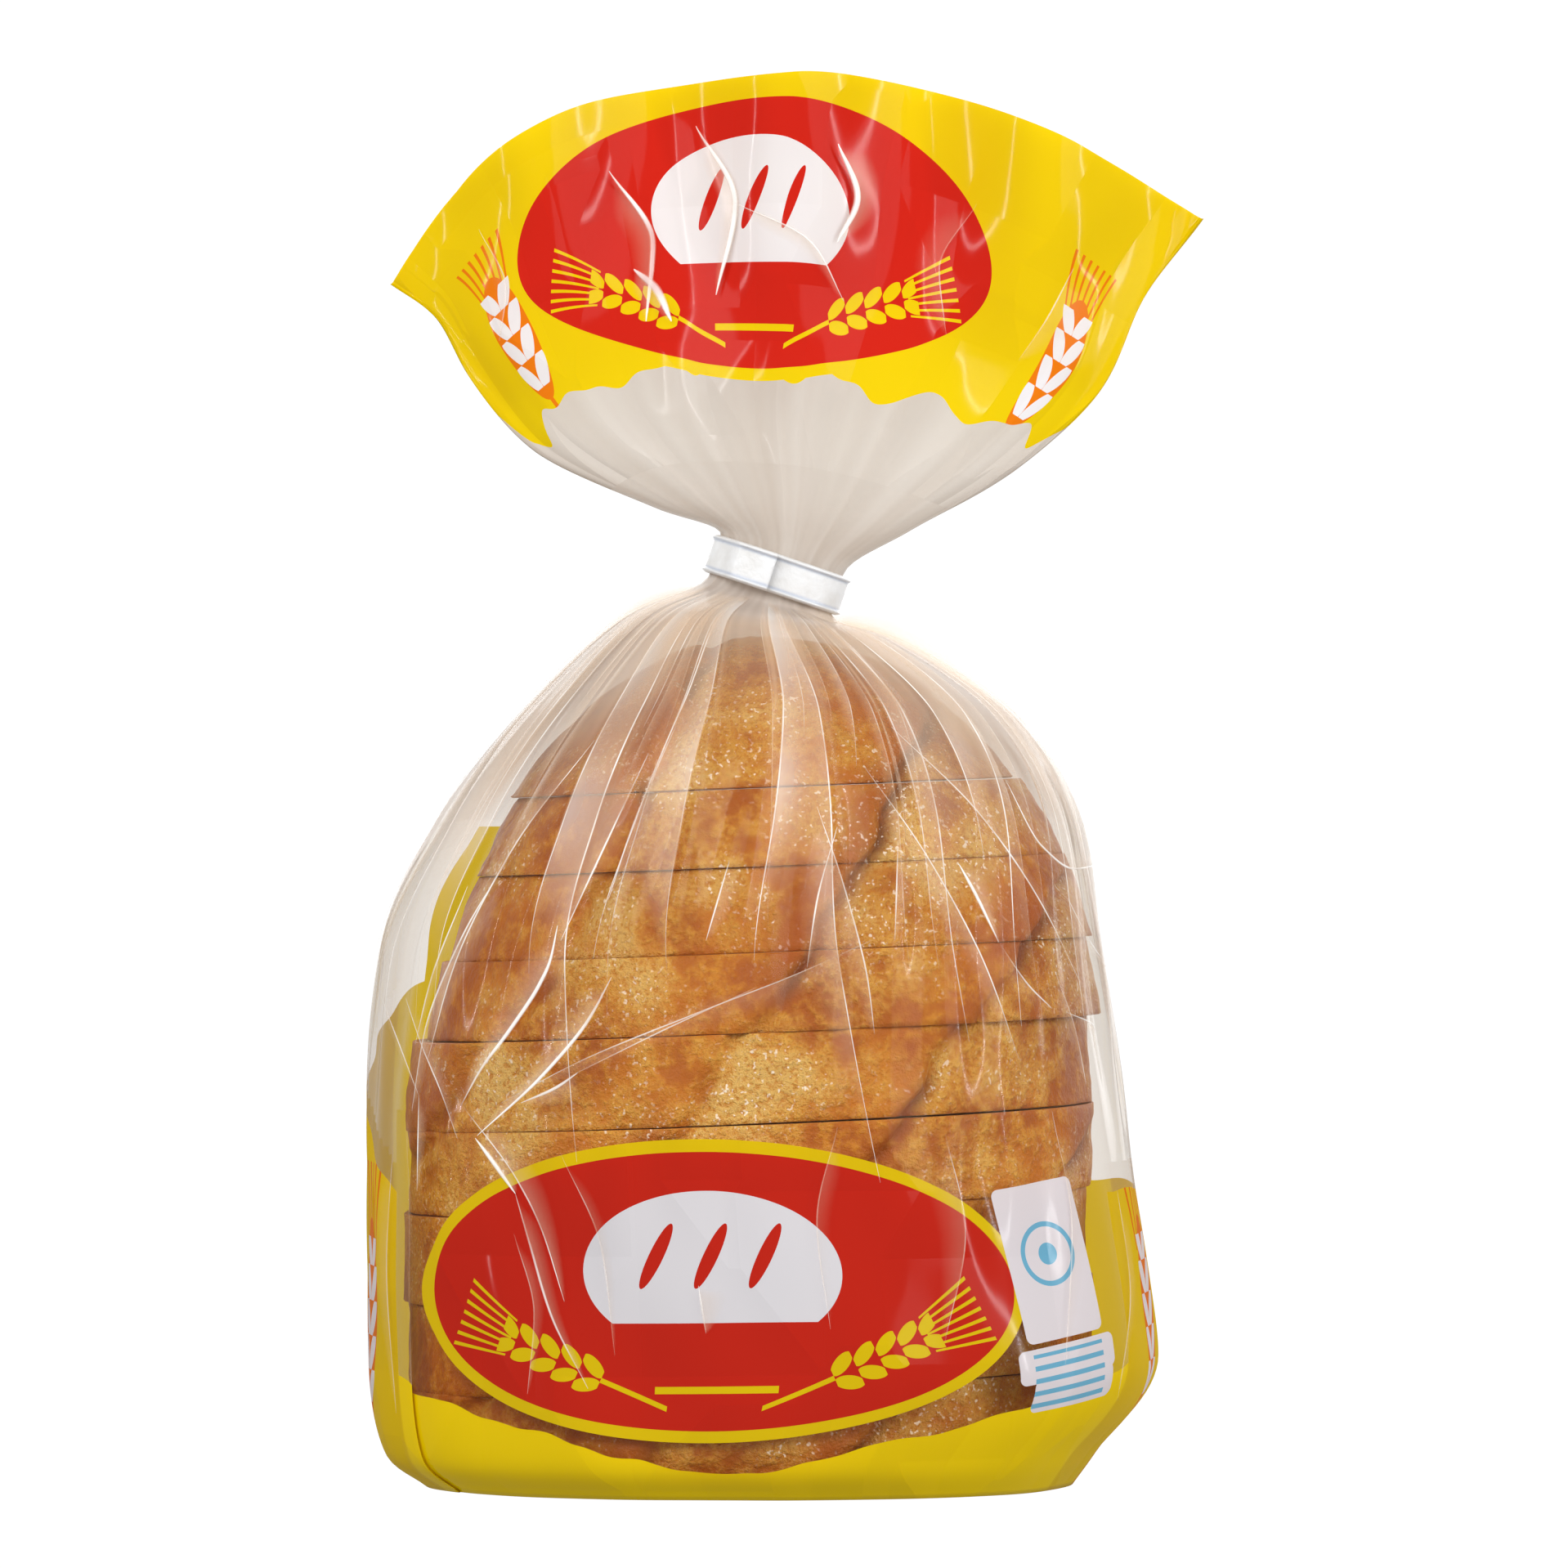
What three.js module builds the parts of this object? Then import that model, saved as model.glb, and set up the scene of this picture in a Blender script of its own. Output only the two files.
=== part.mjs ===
// Half of a sliced loaf in a clear bag, standing on its cut end, with the bag's neck gathered
// by a flat tie and its mouth spread above the tie like a fan.
// Millimetres, +Z up. X runs across the pack, and the loaf's rounded top looks along -Y.
// The origin is at the middle of the bounding box, on the surface that the pack stands on.
import * as THREE from 'three';

// The bag from its foot to its mouth. At each level: where the left and right outlines are,
// how far the middle of the film stands above the line between them, and how deep the pack is
// in front of and behind the plane of its outline. The plane itself lies at "plane".
const BAG_LEVELS = [
  { name: 'foot', left: [-55.5, 0], right: [44.5, 0], crown: 0, front: 44, back: 21, plane: 12 },
  { name: 'heel', left: [-61.6, 5], right: [48.6, 5.5], crown: 0, front: 48.5, back: 24.5, plane: 12 },
  { name: 'ear', left: [-63.9, 18], right: [57.6, 19.5], crown: 0, front: 49.8, back: 25.8, plane: 12 },
  { name: 'waist', left: [-64, 50], right: [53.6, 50], crown: 0, front: 50, back: 26, plane: 12 },
  { name: 'belly', left: [-62, 80.5], right: [49.4, 79], crown: 0, front: 49.5, back: 25.5, plane: 12 },
  { name: 'chest', left: [-52.4, 102], right: [45.2, 102.5], crown: 0, front: 45, back: 23, plane: 11 },
  { name: 'shoulder', left: [-39.6, 119], right: [36.2, 117.5], crown: 0.5, front: 36, back: 20, plane: 9 },
  { name: 'collar', left: [-23.6, 133.4], right: [17.6, 129.4], crown: 0.5, front: 19, back: 13, plane: 4 },
  { name: 'neck foot', left: [-11.5, 139], right: [7.4, 133.3], crown: 0, front: 5.6, back: 5.4, plane: 0 },
  { name: 'neck top', left: [-9.5, 145.5], right: [9.4, 139.8], crown: 0, front: 5.6, back: 5.4, plane: 0 },
  { name: 'fan root', left: [-19.5, 149.6], right: [19.6, 146.2], crown: 3, front: 7, back: 6, plane: 0 },
  { name: 'fan low', left: [-37.6, 158.2], right: [35.6, 155.2], crown: 9.5, front: 5.5, back: 5, plane: 0 },
  { name: 'fan middle', left: [-47.6, 169.5], right: [48.8, 168.2], crown: 15, front: 3.4, back: 3.2, plane: 0 },
  { name: 'fan high', left: [-53.6, 179.2], right: [54.6, 181.4], crown: 21, front: 2.2, back: 2.2, plane: 0 },
  { name: 'mouth', left: [-60, 184], right: [64, 194], crown: 27, front: 1, back: 1, plane: 0 },
];
// Rows of faces between one level and the next.
const ROWS_BETWEEN = [2, 2, 3, 2, 3, 3, 3, 3, 2, 2, 3, 3, 2, 3];
const COLUMNS = 84;

// How square the front and back of a section are: 2 is an ellipse, more is squarer.
const BODY_SQUARENESS = { front: 2.4, back: 4.2 };
const NECK_SQUARENESS = { front: 2.2, back: 2.2 };
// The arch of the mouth falls steeply at the left end and evenly at the right one.
const ARCH_POWER = { left: 3.8, right: 1.7 };

// Pleats run from the tie down over the shoulders and up into the fan.
const PLEAT_COUNT = 14;
const PLEAT_DEPTH = 0.055;
const PLEAT_DRIFT = 0.9;
// The fan waves front to back, more towards its mouth.
const FAN_WAVE_DEPTH = 4.5;
const FAN_WAVE_LENGTH = 39;
const FAN_WAVE_START = 11;

// The tie: a flat plastic strip with a wire along each edge, wrapped once round the neck.
const TIE = {
  width: 6,
  thickness: 0.7,
  wireRelief: 0.35,
  wireWidth: 0.9,
  clearance: 0.6,
  lapGap: 0.35,
  lap: 0.55,
  segments: 56,
};

const FILM = new THREE.MeshStandardMaterial({ name: 'bag', color: 0xd9a25f, roughness: 0.3, metalness: 0 });
const TIE_PLASTIC = new THREE.MeshStandardMaterial({ name: 'tie', color: 0xe8e8e6, roughness: 0.35, metalness: 0 });

const LEVEL_NUMBER = Object.fromEntries(BAG_LEVELS.map((level, i) => [level.name, i]));

// A smooth curve through one number of each level, which never overshoots them.
// It is read at a level number, whole or not.
function levelCurve(read) {
  const values = BAG_LEVELS.map(read);
  const steps = values.slice(1).map((value, i) => value - values[i]);
  const slopes = values.map((value, i) => {
    const before = steps[Math.max(i - 1, 0)];
    const after = steps[Math.min(i, steps.length - 1)];
    return before * after > 0 ? (2 * before * after) / (before + after) : 0;
  });
  return (level) => {
    const i = Math.min(Math.floor(level), steps.length - 1);
    const t = level - i;
    const bend = (slopes[i] + slopes[i + 1] - 2 * steps[i]) * t;
    return values[i] + t * (slopes[i] + t * (3 * steps[i] - 2 * slopes[i] - slopes[i + 1] + bend));
  };
}

const PROFILE = {
  leftX: levelCurve((l) => l.left[0]),
  leftZ: levelCurve((l) => l.left[1]),
  rightX: levelCurve((l) => l.right[0]),
  rightZ: levelCurve((l) => l.right[1]),
  crown: levelCurve((l) => l.crown),
  front: levelCurve((l) => l.front),
  back: levelCurve((l) => l.back),
  plane: levelCurve((l) => l.plane),
};

const { lerp, smoothstep } = THREE.MathUtils;

// 0 in the body of the bag and 1 from the neck up.
function neckShare(level) {
  return smoothstep(level, LEVEL_NUMBER.chest, LEVEL_NUMBER['neck foot']);
}

// Pleats fade out down the body and towards the mouth, and the tie presses them flat.
function pleatStrength(level) {
  const below = smoothstep(level, LEVEL_NUMBER.belly, LEVEL_NUMBER.collar);
  const above = 1 - smoothstep(level, LEVEL_NUMBER['fan low'], LEVEL_NUMBER['fan high']);
  const fromTie = Math.min(
    Math.abs(level - LEVEL_NUMBER['neck foot']),
    Math.abs(level - LEVEL_NUMBER['neck top']),
    1,
  );
  const underTie = level > LEVEL_NUMBER['neck foot'] && level < LEVEL_NUMBER['neck top'];
  return underTie ? 0 : below * above * fromTie;
}

function signedPower(value, power) {
  return Math.sign(value) * Math.abs(value) ** power;
}

// One point of the bag: angle 0 is at the right outline, and the front is from PI to 2 PI.
function bagPoint(level, angle) {
  const across = Math.cos(angle);
  const deep = Math.sin(angle);
  const side = deep < 0 ? 'front' : 'back';
  const power = 2 / lerp(BODY_SQUARENESS[side], NECK_SQUARENESS[side], neckShare(level));
  const pleat = 1 + PLEAT_DEPTH * pleatStrength(level)
    * Math.cos(PLEAT_COUNT * angle + PLEAT_DRIFT * Math.sin(3 * angle));
  const share = signedPower(across, power);
  const depth = signedPower(deep, power) * PROFILE[side](level);

  const leftX = PROFILE.leftX(level);
  const rightX = PROFILE.rightX(level);
  const along = (share * pleat + 1) / 2;
  const x = lerp(leftX, rightX, along);
  const archPower = share < 0 ? ARCH_POWER.left : ARCH_POWER.right;
  const arch = PROFILE.crown(level) * (1 - Math.abs(share) ** archPower);
  const z = lerp(PROFILE.leftZ(level), PROFILE.rightZ(level), along) + arch;

  const waves = smoothstep(level, LEVEL_NUMBER['fan root'], LEVEL_NUMBER.mouth) * FAN_WAVE_DEPTH
    * Math.sin((2 * Math.PI * (x - FAN_WAVE_START)) / FAN_WAVE_LENGTH);
  return new THREE.Vector3(x, PROFILE.plane(level) + depth * pleat + waves, z);
}

// The faces that close the end of a loft, facing the way that its rings follow each other.
// Each point joins the one straight across, so a long thin end may bend.
function endFaces(start, count) {
  const faces = [];
  const across = (i) => start + ((count - i) % count);
  for (let i = 0; i < count / 2; i += 1) {
    const [a, b] = [start + i, start + i + 1];
    if (across(i + 1) !== b) faces.push(a, b, across(i + 1));
    if (across(i) !== a) faces.push(a, across(i + 1), across(i));
  }
  return faces;
}

// A closed solid from rings of points.
function loft(rings) {
  const count = rings[0].length;
  const points = rings.flat();
  const faces = endFaces(0, count).reverse();
  faces.push(...endFaces(points.length - count, count));
  for (let row = 0; row < rings.length - 1; row += 1) {
    for (let i = 0; i < count; i += 1) {
      const a = row * count + i;
      const b = row * count + ((i + 1) % count);
      faces.push(a, b, b + count, a, b + count, a + count);
    }
  }
  const geometry = new THREE.BufferGeometry().setFromPoints(points);
  geometry.setIndex(faces);
  geometry.computeVertexNormals();
  return geometry;
}

// The film and all that it holds, up to the fan's mouth, which lies shut.
function bagGeometry() {
  const levels = [0];
  ROWS_BETWEEN.forEach((rows, i) => {
    for (let row = 1; row <= rows; row += 1) levels.push(i + row / rows);
  });
  const rings = levels.map((level) => {
    const ring = [];
    for (let i = 0; i < COLUMNS; i += 1) ring.push(bagPoint(level, (2 * Math.PI * i) / COLUMNS));
    return ring;
  });
  return loft(rings);
}

// The strip's section, across its thickness and its width: flat inside, a wire at each edge.
function tieSection() {
  const half = TIE.width / 2;
  const outer = TIE.thickness;
  const wire = TIE.thickness + TIE.wireRelief;
  const crown = wire / 2;
  const shoulder = half - TIE.wireWidth;
  const crest = half - TIE.wireWidth / 2;
  return [
    [crown, half], [wire, crest], [outer, shoulder], [outer, -shoulder], [wire, -crest],
    [crown, -half], [0, -half], [0, -shoulder], [0, shoulder], [0, half],
  ];
}

// One turn round the neck and a little more, so that the end laps over the start in front.
function tieGeometry() {
  const low = LEVEL_NUMBER['neck foot'];
  const high = LEVEL_NUMBER['neck top'];
  const turn = 2 * Math.PI + TIE.lap;
  const start = 1.5 * Math.PI - TIE.lap / 2;
  const up = new THREE.Vector3(0, 0, 1);
  const level = (low + high) / 2;
  const slope = new THREE.Vector3().subVectors(bagPoint(level, 0), bagPoint(level, Math.PI)).normalize();
  const wide = new THREE.Vector3(0, 1, 0).cross(slope).negate().normalize();
  const rings = [];
  for (let i = 0; i <= TIE.segments; i += 1) {
    const share = i / TIE.segments;
    const angle = start + turn * share;
    const here = bagPoint(level, angle);
    const ahead = new THREE.Vector3().subVectors(bagPoint(level, angle + 0.01), bagPoint(level, angle - 0.01));
    const out = ahead.cross(wide).normalize();
    const lapped = smoothstep(share, 1 - (1.6 * TIE.lap) / turn, 1 - (0.9 * TIE.lap) / turn);
    const lift = TIE.clearance + lapped * (TIE.thickness + TIE.wireRelief + TIE.lapGap);
    rings.push(tieSection().map(([thick, across]) => here.clone()
      .addScaledVector(out, lift + thick)
      .addScaledVector(wide, across * Math.sign(wide.dot(up)))));
  }
  return loft(rings);
}

function namedMesh(name, geometry, material) {
  const mesh = new THREE.Mesh(geometry, material);
  mesh.name = name;
  return mesh;
}

const pack = new THREE.Group();
pack.add(namedMesh('bread_bag', bagGeometry(), FILM));
pack.add(namedMesh('neck_tie', tieGeometry(), TIE_PLASTIC));

// The middle of the bag's box goes over the origin.
const box = new THREE.Box3().setFromObject(pack.children[0]);
pack.position.set(-(box.min.x + box.max.x) / 2, -(box.min.y + box.max.y) / 2, -box.min.z);
pack.updateMatrixWorld(true);

export default pack;
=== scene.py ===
# A sliced half loaf in a clear printed bag: the film, the slices and the tie, built round the
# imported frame. Shapes are worked out in millimetres and written to meshes in metres.
import math

import bpy
import numpy as np
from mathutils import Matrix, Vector, kdtree, noise


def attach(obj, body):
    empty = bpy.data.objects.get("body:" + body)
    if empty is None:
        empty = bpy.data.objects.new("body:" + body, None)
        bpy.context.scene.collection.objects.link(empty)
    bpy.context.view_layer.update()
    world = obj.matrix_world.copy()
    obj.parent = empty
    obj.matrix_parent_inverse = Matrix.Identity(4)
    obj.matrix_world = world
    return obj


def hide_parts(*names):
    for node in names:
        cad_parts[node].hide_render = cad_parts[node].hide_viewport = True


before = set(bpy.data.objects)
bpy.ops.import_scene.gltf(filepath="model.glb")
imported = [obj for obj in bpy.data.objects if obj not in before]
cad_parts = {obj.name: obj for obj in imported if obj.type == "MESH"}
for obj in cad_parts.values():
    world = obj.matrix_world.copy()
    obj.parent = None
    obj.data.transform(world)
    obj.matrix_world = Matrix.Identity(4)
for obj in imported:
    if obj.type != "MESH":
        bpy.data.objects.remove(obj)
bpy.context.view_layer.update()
MM = 0.001
rng = np.random.default_rng(26)

# The bag's levels from its foot to its mouth, as in the frame: the left and right outlines, the
# rise of the middle between them, the depth in front and behind, and the plane of the outlines.
BAG_LEVELS = [
    ("foot", (-55.5, 0), (44.5, 0), 0, 44, 21, 12),
    ("heel", (-61.6, 5), (48.6, 5.5), 0, 48.5, 24.5, 12),
    ("ear", (-63.9, 18), (57.6, 19.5), 0, 49.8, 25.8, 12),
    ("waist", (-64, 50), (53.6, 50), 0, 50, 26, 12),
    ("belly", (-62, 80.5), (49.4, 79), 0, 49.5, 25.5, 12),
    ("chest", (-52.4, 102), (45.2, 102.5), 0, 45, 23, 11),
    ("shoulder", (-39.6, 119), (36.2, 117.5), 0.5, 36, 20, 9),
    ("collar", (-23.6, 133.4), (17.6, 129.4), 0.5, 19, 13, 4),
    ("neck foot", (-11.5, 139), (7.4, 133.3), 0, 5.6, 5.4, 0),
    ("neck top", (-9.5, 145.5), (9.4, 139.8), 0, 5.6, 5.4, 0),
    ("fan root", (-19.5, 149.6), (19.6, 146.2), 3, 7, 6, 0),
    ("fan low", (-37.6, 158.2), (35.6, 155.2), 9.5, 5.5, 5, 0),
    ("fan middle", (-47.6, 169.5), (48.8, 168.2), 15, 3.4, 3.2, 0),
    ("fan high", (-53.6, 179.2), (54.6, 181.4), 21, 2.2, 2.2, 0),
    ("mouth", (-60, 184), (64, 194), 27, 1, 1, 0),
]
LEVEL = {row[0]: i for i, row in enumerate(BAG_LEVELS)}
NECK_MIDDLE = (LEVEL["neck foot"] + LEVEL["neck top"]) / 2
BODY_SQUARENESS = {"front": 2.4, "back": 4.2}
NECK_SQUARENESS = 2.2
ARCH_POWER = {"left": 3.8, "right": 1.7}
FAN_WAVE = {"depth": 4.5, "length": 39, "start": 11}


# Small number helpers

def smoothstep(x, low, high):
    t = np.clip((x - low) / (high - low), 0, 1)
    return t * t * (3 - 2 * t)


def lerp(a, b, t):
    return a + (b - a) * t


def signed_power(value, power):
    return np.sign(value) * np.abs(value) ** power


def unit(vectors):
    """The same directions, each with a length of 1."""
    return vectors / np.maximum(np.linalg.norm(vectors, axis=-1, keepdims=True), 1e-9)


def round_angles(count):
    return np.linspace(0, 2 * math.pi, count, endpoint=False)


def length_along(points):
    """How far along a line each of its points lies."""
    return np.concatenate([[0], np.cumsum(np.linalg.norm(np.diff(points, axis=0), axis=1))])


def linear(red, green, blue):
    """A colour given as it shows on a screen, 0 to 255, as the shader wants it."""
    def one(c):
        c = c / 255
        return c / 12.92 if c <= 0.04045 else ((c + 0.055) / 1.055) ** 2.4
    return (one(red), one(green), one(blue), 1.0)


def level_curve(values):
    """A smooth curve through one number of each level, which never overshoots them."""
    values = np.asarray(values, float)
    steps = np.diff(values)
    before = np.concatenate([steps[:1], steps])
    after = np.concatenate([steps, steps[-1:]])
    both = before * after
    slopes = np.where(both > 0, 2 * both / np.where(both > 0, before + after, 1), 0)

    def at(level):
        i = np.minimum(np.floor(level).astype(int), len(steps) - 1)
        t = level - i
        bend = (slopes[i] + slopes[i + 1] - 2 * steps[i]) * t
        return values[i] + t * (slopes[i] + t * (3 * steps[i] - 2 * slopes[i] - slopes[i + 1] + bend))
    return at


def bag_profile():
    """A curve over the levels for each number in the rows of BAG_LEVELS."""
    names = ("left_x", "left_z", "right_x", "right_z", "crown", "front", "back", "plane")
    columns = zip(*((*left, *right, *others) for _, left, right, *others in BAG_LEVELS))
    return {name: level_curve(column) for name, column in zip(names, columns)}


PROFILE = bag_profile()


def bag_surface(level, angle):
    """The bag's smooth surface. Angle 0 is at the right outline, and the front is from pi to 2 pi."""
    across = np.cos(angle)
    deep = np.sin(angle)
    in_front = deep < 0
    neck = smoothstep(level, LEVEL["chest"], LEVEL["neck foot"])
    square = np.where(
        in_front,
        lerp(BODY_SQUARENESS["front"], NECK_SQUARENESS, neck),
        lerp(BODY_SQUARENESS["back"], NECK_SQUARENESS, neck),
    )
    share = signed_power(across, 2 / square)
    reach = np.where(in_front, PROFILE["front"](level), PROFILE["back"](level))
    depth = signed_power(deep, 2 / square) * reach
    along = (share + 1) / 2
    x = lerp(PROFILE["left_x"](level), PROFILE["right_x"](level), along)
    arch_power = np.where(share < 0, ARCH_POWER["left"], ARCH_POWER["right"])
    arch = PROFILE["crown"](level) * (1 - np.abs(share) ** arch_power)
    z = lerp(PROFILE["left_z"](level), PROFILE["right_z"](level), along) + arch
    wave = np.sin(2 * math.pi * (x - FAN_WAVE["start"]) / FAN_WAVE["length"])
    wave = wave * FAN_WAVE["depth"] * smoothstep(level, LEVEL["fan root"], LEVEL["mouth"])
    y = PROFILE["plane"](level) + depth + wave
    return np.stack([x, y, z + 0 * y], axis=-1)


# Meshes from rings of points

def mesh_object(name, points, faces, smooth=True):
    mesh = bpy.data.meshes.new(name)
    mesh.from_pydata((np.reshape(points, (-1, 3)) * MM).tolist(), [], faces)
    mesh.update()
    if smooth:
        mesh.polygons.foreach_set("use_smooth", [True] * len(mesh.polygons))
    piece = bpy.data.objects.new(name, mesh)
    bpy.context.scene.collection.objects.link(piece)
    return piece


def ring_faces(rings, columns):
    """Four-sided faces between closed rings of points, one after the other."""
    ring, column = np.meshgrid(np.arange(rings - 1), np.arange(columns), indexing="ij")
    start, beside = ring * columns, (column + 1) % columns
    corners = [start + column, start + beside, start + columns + beside, start + columns + column]
    return np.stack(corners, axis=-1).reshape(-1, 4).tolist()


def set_attribute(piece, name, values):
    attribute = piece.data.attributes.new(name, "FLOAT", "POINT")
    attribute.data.foreach_set("value", np.asarray(values, np.float32).ravel())


def set_film_map(piece, across, along):
    """The film's own coordinates in millimetres as a UV map. Faces over the back's seam run on past it."""
    layer = piece.data.uv_layers.new(name="film")
    corner = np.empty(len(piece.data.loops), np.int32)
    piece.data.loops.foreach_get("vertex_index", corner)
    u = across.ravel()[corner].reshape(-1, 4)
    over_seam = np.ptp(u, axis=1, keepdims=True) > FILM_WIDTH / 2
    u = u + FILM_WIDTH * (over_seam & (u < 0))
    places = np.stack([u.ravel(), along.ravel()[corner]], axis=-1)
    layer.data.foreach_set("uv", places.astype(np.float32).ravel())


def noise_at(points, size, seed):
    """Smooth noise from -1 to 1, with lumps of the given size in millimetres."""
    shift = Vector((seed * 17.3, seed * 5.1, seed * 9.7))
    values = [noise.noise(Vector(point) / size + shift) for point in points.reshape(-1, 3)]
    return np.array(values).reshape(points.shape[:-1])


# Film folds

WAIST_ANGLES = np.linspace(-0.5 * math.pi, 1.5 * math.pi, 24001)
WAIST_RUN = length_along(bag_surface(np.full_like(WAIST_ANGLES, LEVEL["waist"]), WAIST_ANGLES))
FILM_WIDTH = WAIST_RUN[-1]


def angle_of(across):
    """The angle at which a point of the film lies, from its distance across the film in millimetres.
    0 is at the front's middle, and it grows to the right."""
    return np.interp(np.mod(across, FILM_WIDTH), WAIST_RUN, WAIST_ANGLES)


# How far the front folds reach aside, the width of those behind, the height over which a fold grows,
# how much it lifts the film, the height about which it leans, and how strong folds are.
FRONT_REACH = 104
BACK_FOLD_WIDTH = 15
FOLD_RUN = 34
FOLD_LIFT = 0.4
FOLD_PIVOT = 112
BODY_FOLD_STRENGTH = 2.0
FAN_FOLD_STRENGTH = 0.25
TIGHTNESS = (0.35, 1.1)
FOLD_SPACING = (0.2, 0.8)
CORNER_FOLD = {"across": -57.5, "width": 13, "top": 62, "run": 14, "strength": 1.5, "dip": 0.5}
CREASE_LIFT = 0.75
STRAY_LINES = 26


def uneven_folds(widths, ends, leans):
    """Folds across the front of the film: where across it, how wide, where each ends, how tight it
    is, and how far it leans aside for each millimetre on its way down."""
    folds, across = [], -FRONT_REACH
    while across < FRONT_REACH:
        width = rng.uniform(*widths)
        across += width / 2
        folds.append((across, width, rng.uniform(*ends), rng.uniform(*TIGHTNESS), rng.uniform(*leans)))
        across += width * rng.uniform(*FOLD_SPACING)
    return folds


BODY_FOLDS = uneven_folds((4.5, 14), (68, 112), (-0.16, 0.16))
FAN_FOLDS = uneven_folds((12, 26), (11.4, 13.2), (0, 0))


def back_folds(ends):
    """Even folds for the back of the film, in the same form."""
    first = FRONT_REACH + BACK_FOLD_WIDTH / 2
    count = int((FILM_WIDTH - 2 * first) / BACK_FOLD_WIDTH) + 1
    places = np.linspace(first, FILM_WIDTH - first, count)
    return [(place, BACK_FOLD_WIDTH, ends * rng.uniform(0.93, 1.07), 1.0, 0.0) for place in places]


def fold_shape(across, centre, width):
    """How far through the fold each point is, as a wave that is 0 outside it, and its window."""
    away = np.mod(across - centre + FILM_WIDTH / 2, FILM_WIDTH) - FILM_WIDTH / 2
    t = np.clip(away / width, -0.5, 0.5)
    window = np.cos(math.pi * t) ** 2
    return np.sin(2 * math.pi * t) * window, window


def fold_film(across, height, folds, strength_of):
    """Slides the film over itself at each fold. Returns the new places across, the lift of the film
    and how far it is folded. Past a strength of 1 a fold runs back under itself, and the film there
    lies three deep."""
    slide = np.zeros_like(across)
    lift = np.zeros_like(across)
    folded = np.zeros_like(across)
    for number, (centre, width, end, tightness, lean) in enumerate(folds):
        wave, window = fold_shape(across, centre + lean * (FOLD_PIVOT - height), width)
        strength = strength_of(end) * tightness
        way = 1 if number % 2 else -1
        slide -= strength * width / (2 * math.pi) * wave
        lift += np.minimum(strength, 1.4) * FOLD_LIFT * (window - way * wave)
        folded += window * smoothstep(strength, 0.15, 1.5)
    return across + slide, lift, np.minimum(folded, 1)


FILM_COLUMNS = 600
BODY_STEP = 1.12
FAN_STEP = 1.0


def film_places():
    """Places across the film, closer together in front, where the camera is."""
    place = np.linspace(0, FILM_WIDTH, 4001)
    from_front = np.minimum(place, FILM_WIDTH - place)
    crowd = 1.0 - 0.5 * smoothstep(from_front, 85, 110)
    total = np.concatenate([[0], np.cumsum((crowd[1:] + crowd[:-1]) / 2)])
    return np.interp(np.arange(FILM_COLUMNS) / FILM_COLUMNS * total[-1], total, place)


def centred(across):
    """Distances across the film from the front's middle, with the seam at the back."""
    return np.mod(across + FILM_WIDTH / 2, FILM_WIDTH) - FILM_WIDTH / 2


def film_height():
    """The film's length from its foot to each level along the front's middle, in millimetres."""
    levels = np.linspace(0, LEVEL["mouth"], 1401)
    run = length_along(bag_surface(levels, np.full_like(levels, 1.5 * math.pi)))
    return lambda level: np.interp(level, levels, run)


FILM_HEIGHT = film_height()


def outward(level, angle):
    """The level direction that points out of the bag."""
    step = 0.004
    ahead = bag_surface(level, angle + step) - bag_surface(level, angle - step)
    return unit(np.stack([ahead[..., 1], -ahead[..., 0], 0 * ahead[..., 0]], axis=-1))


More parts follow.
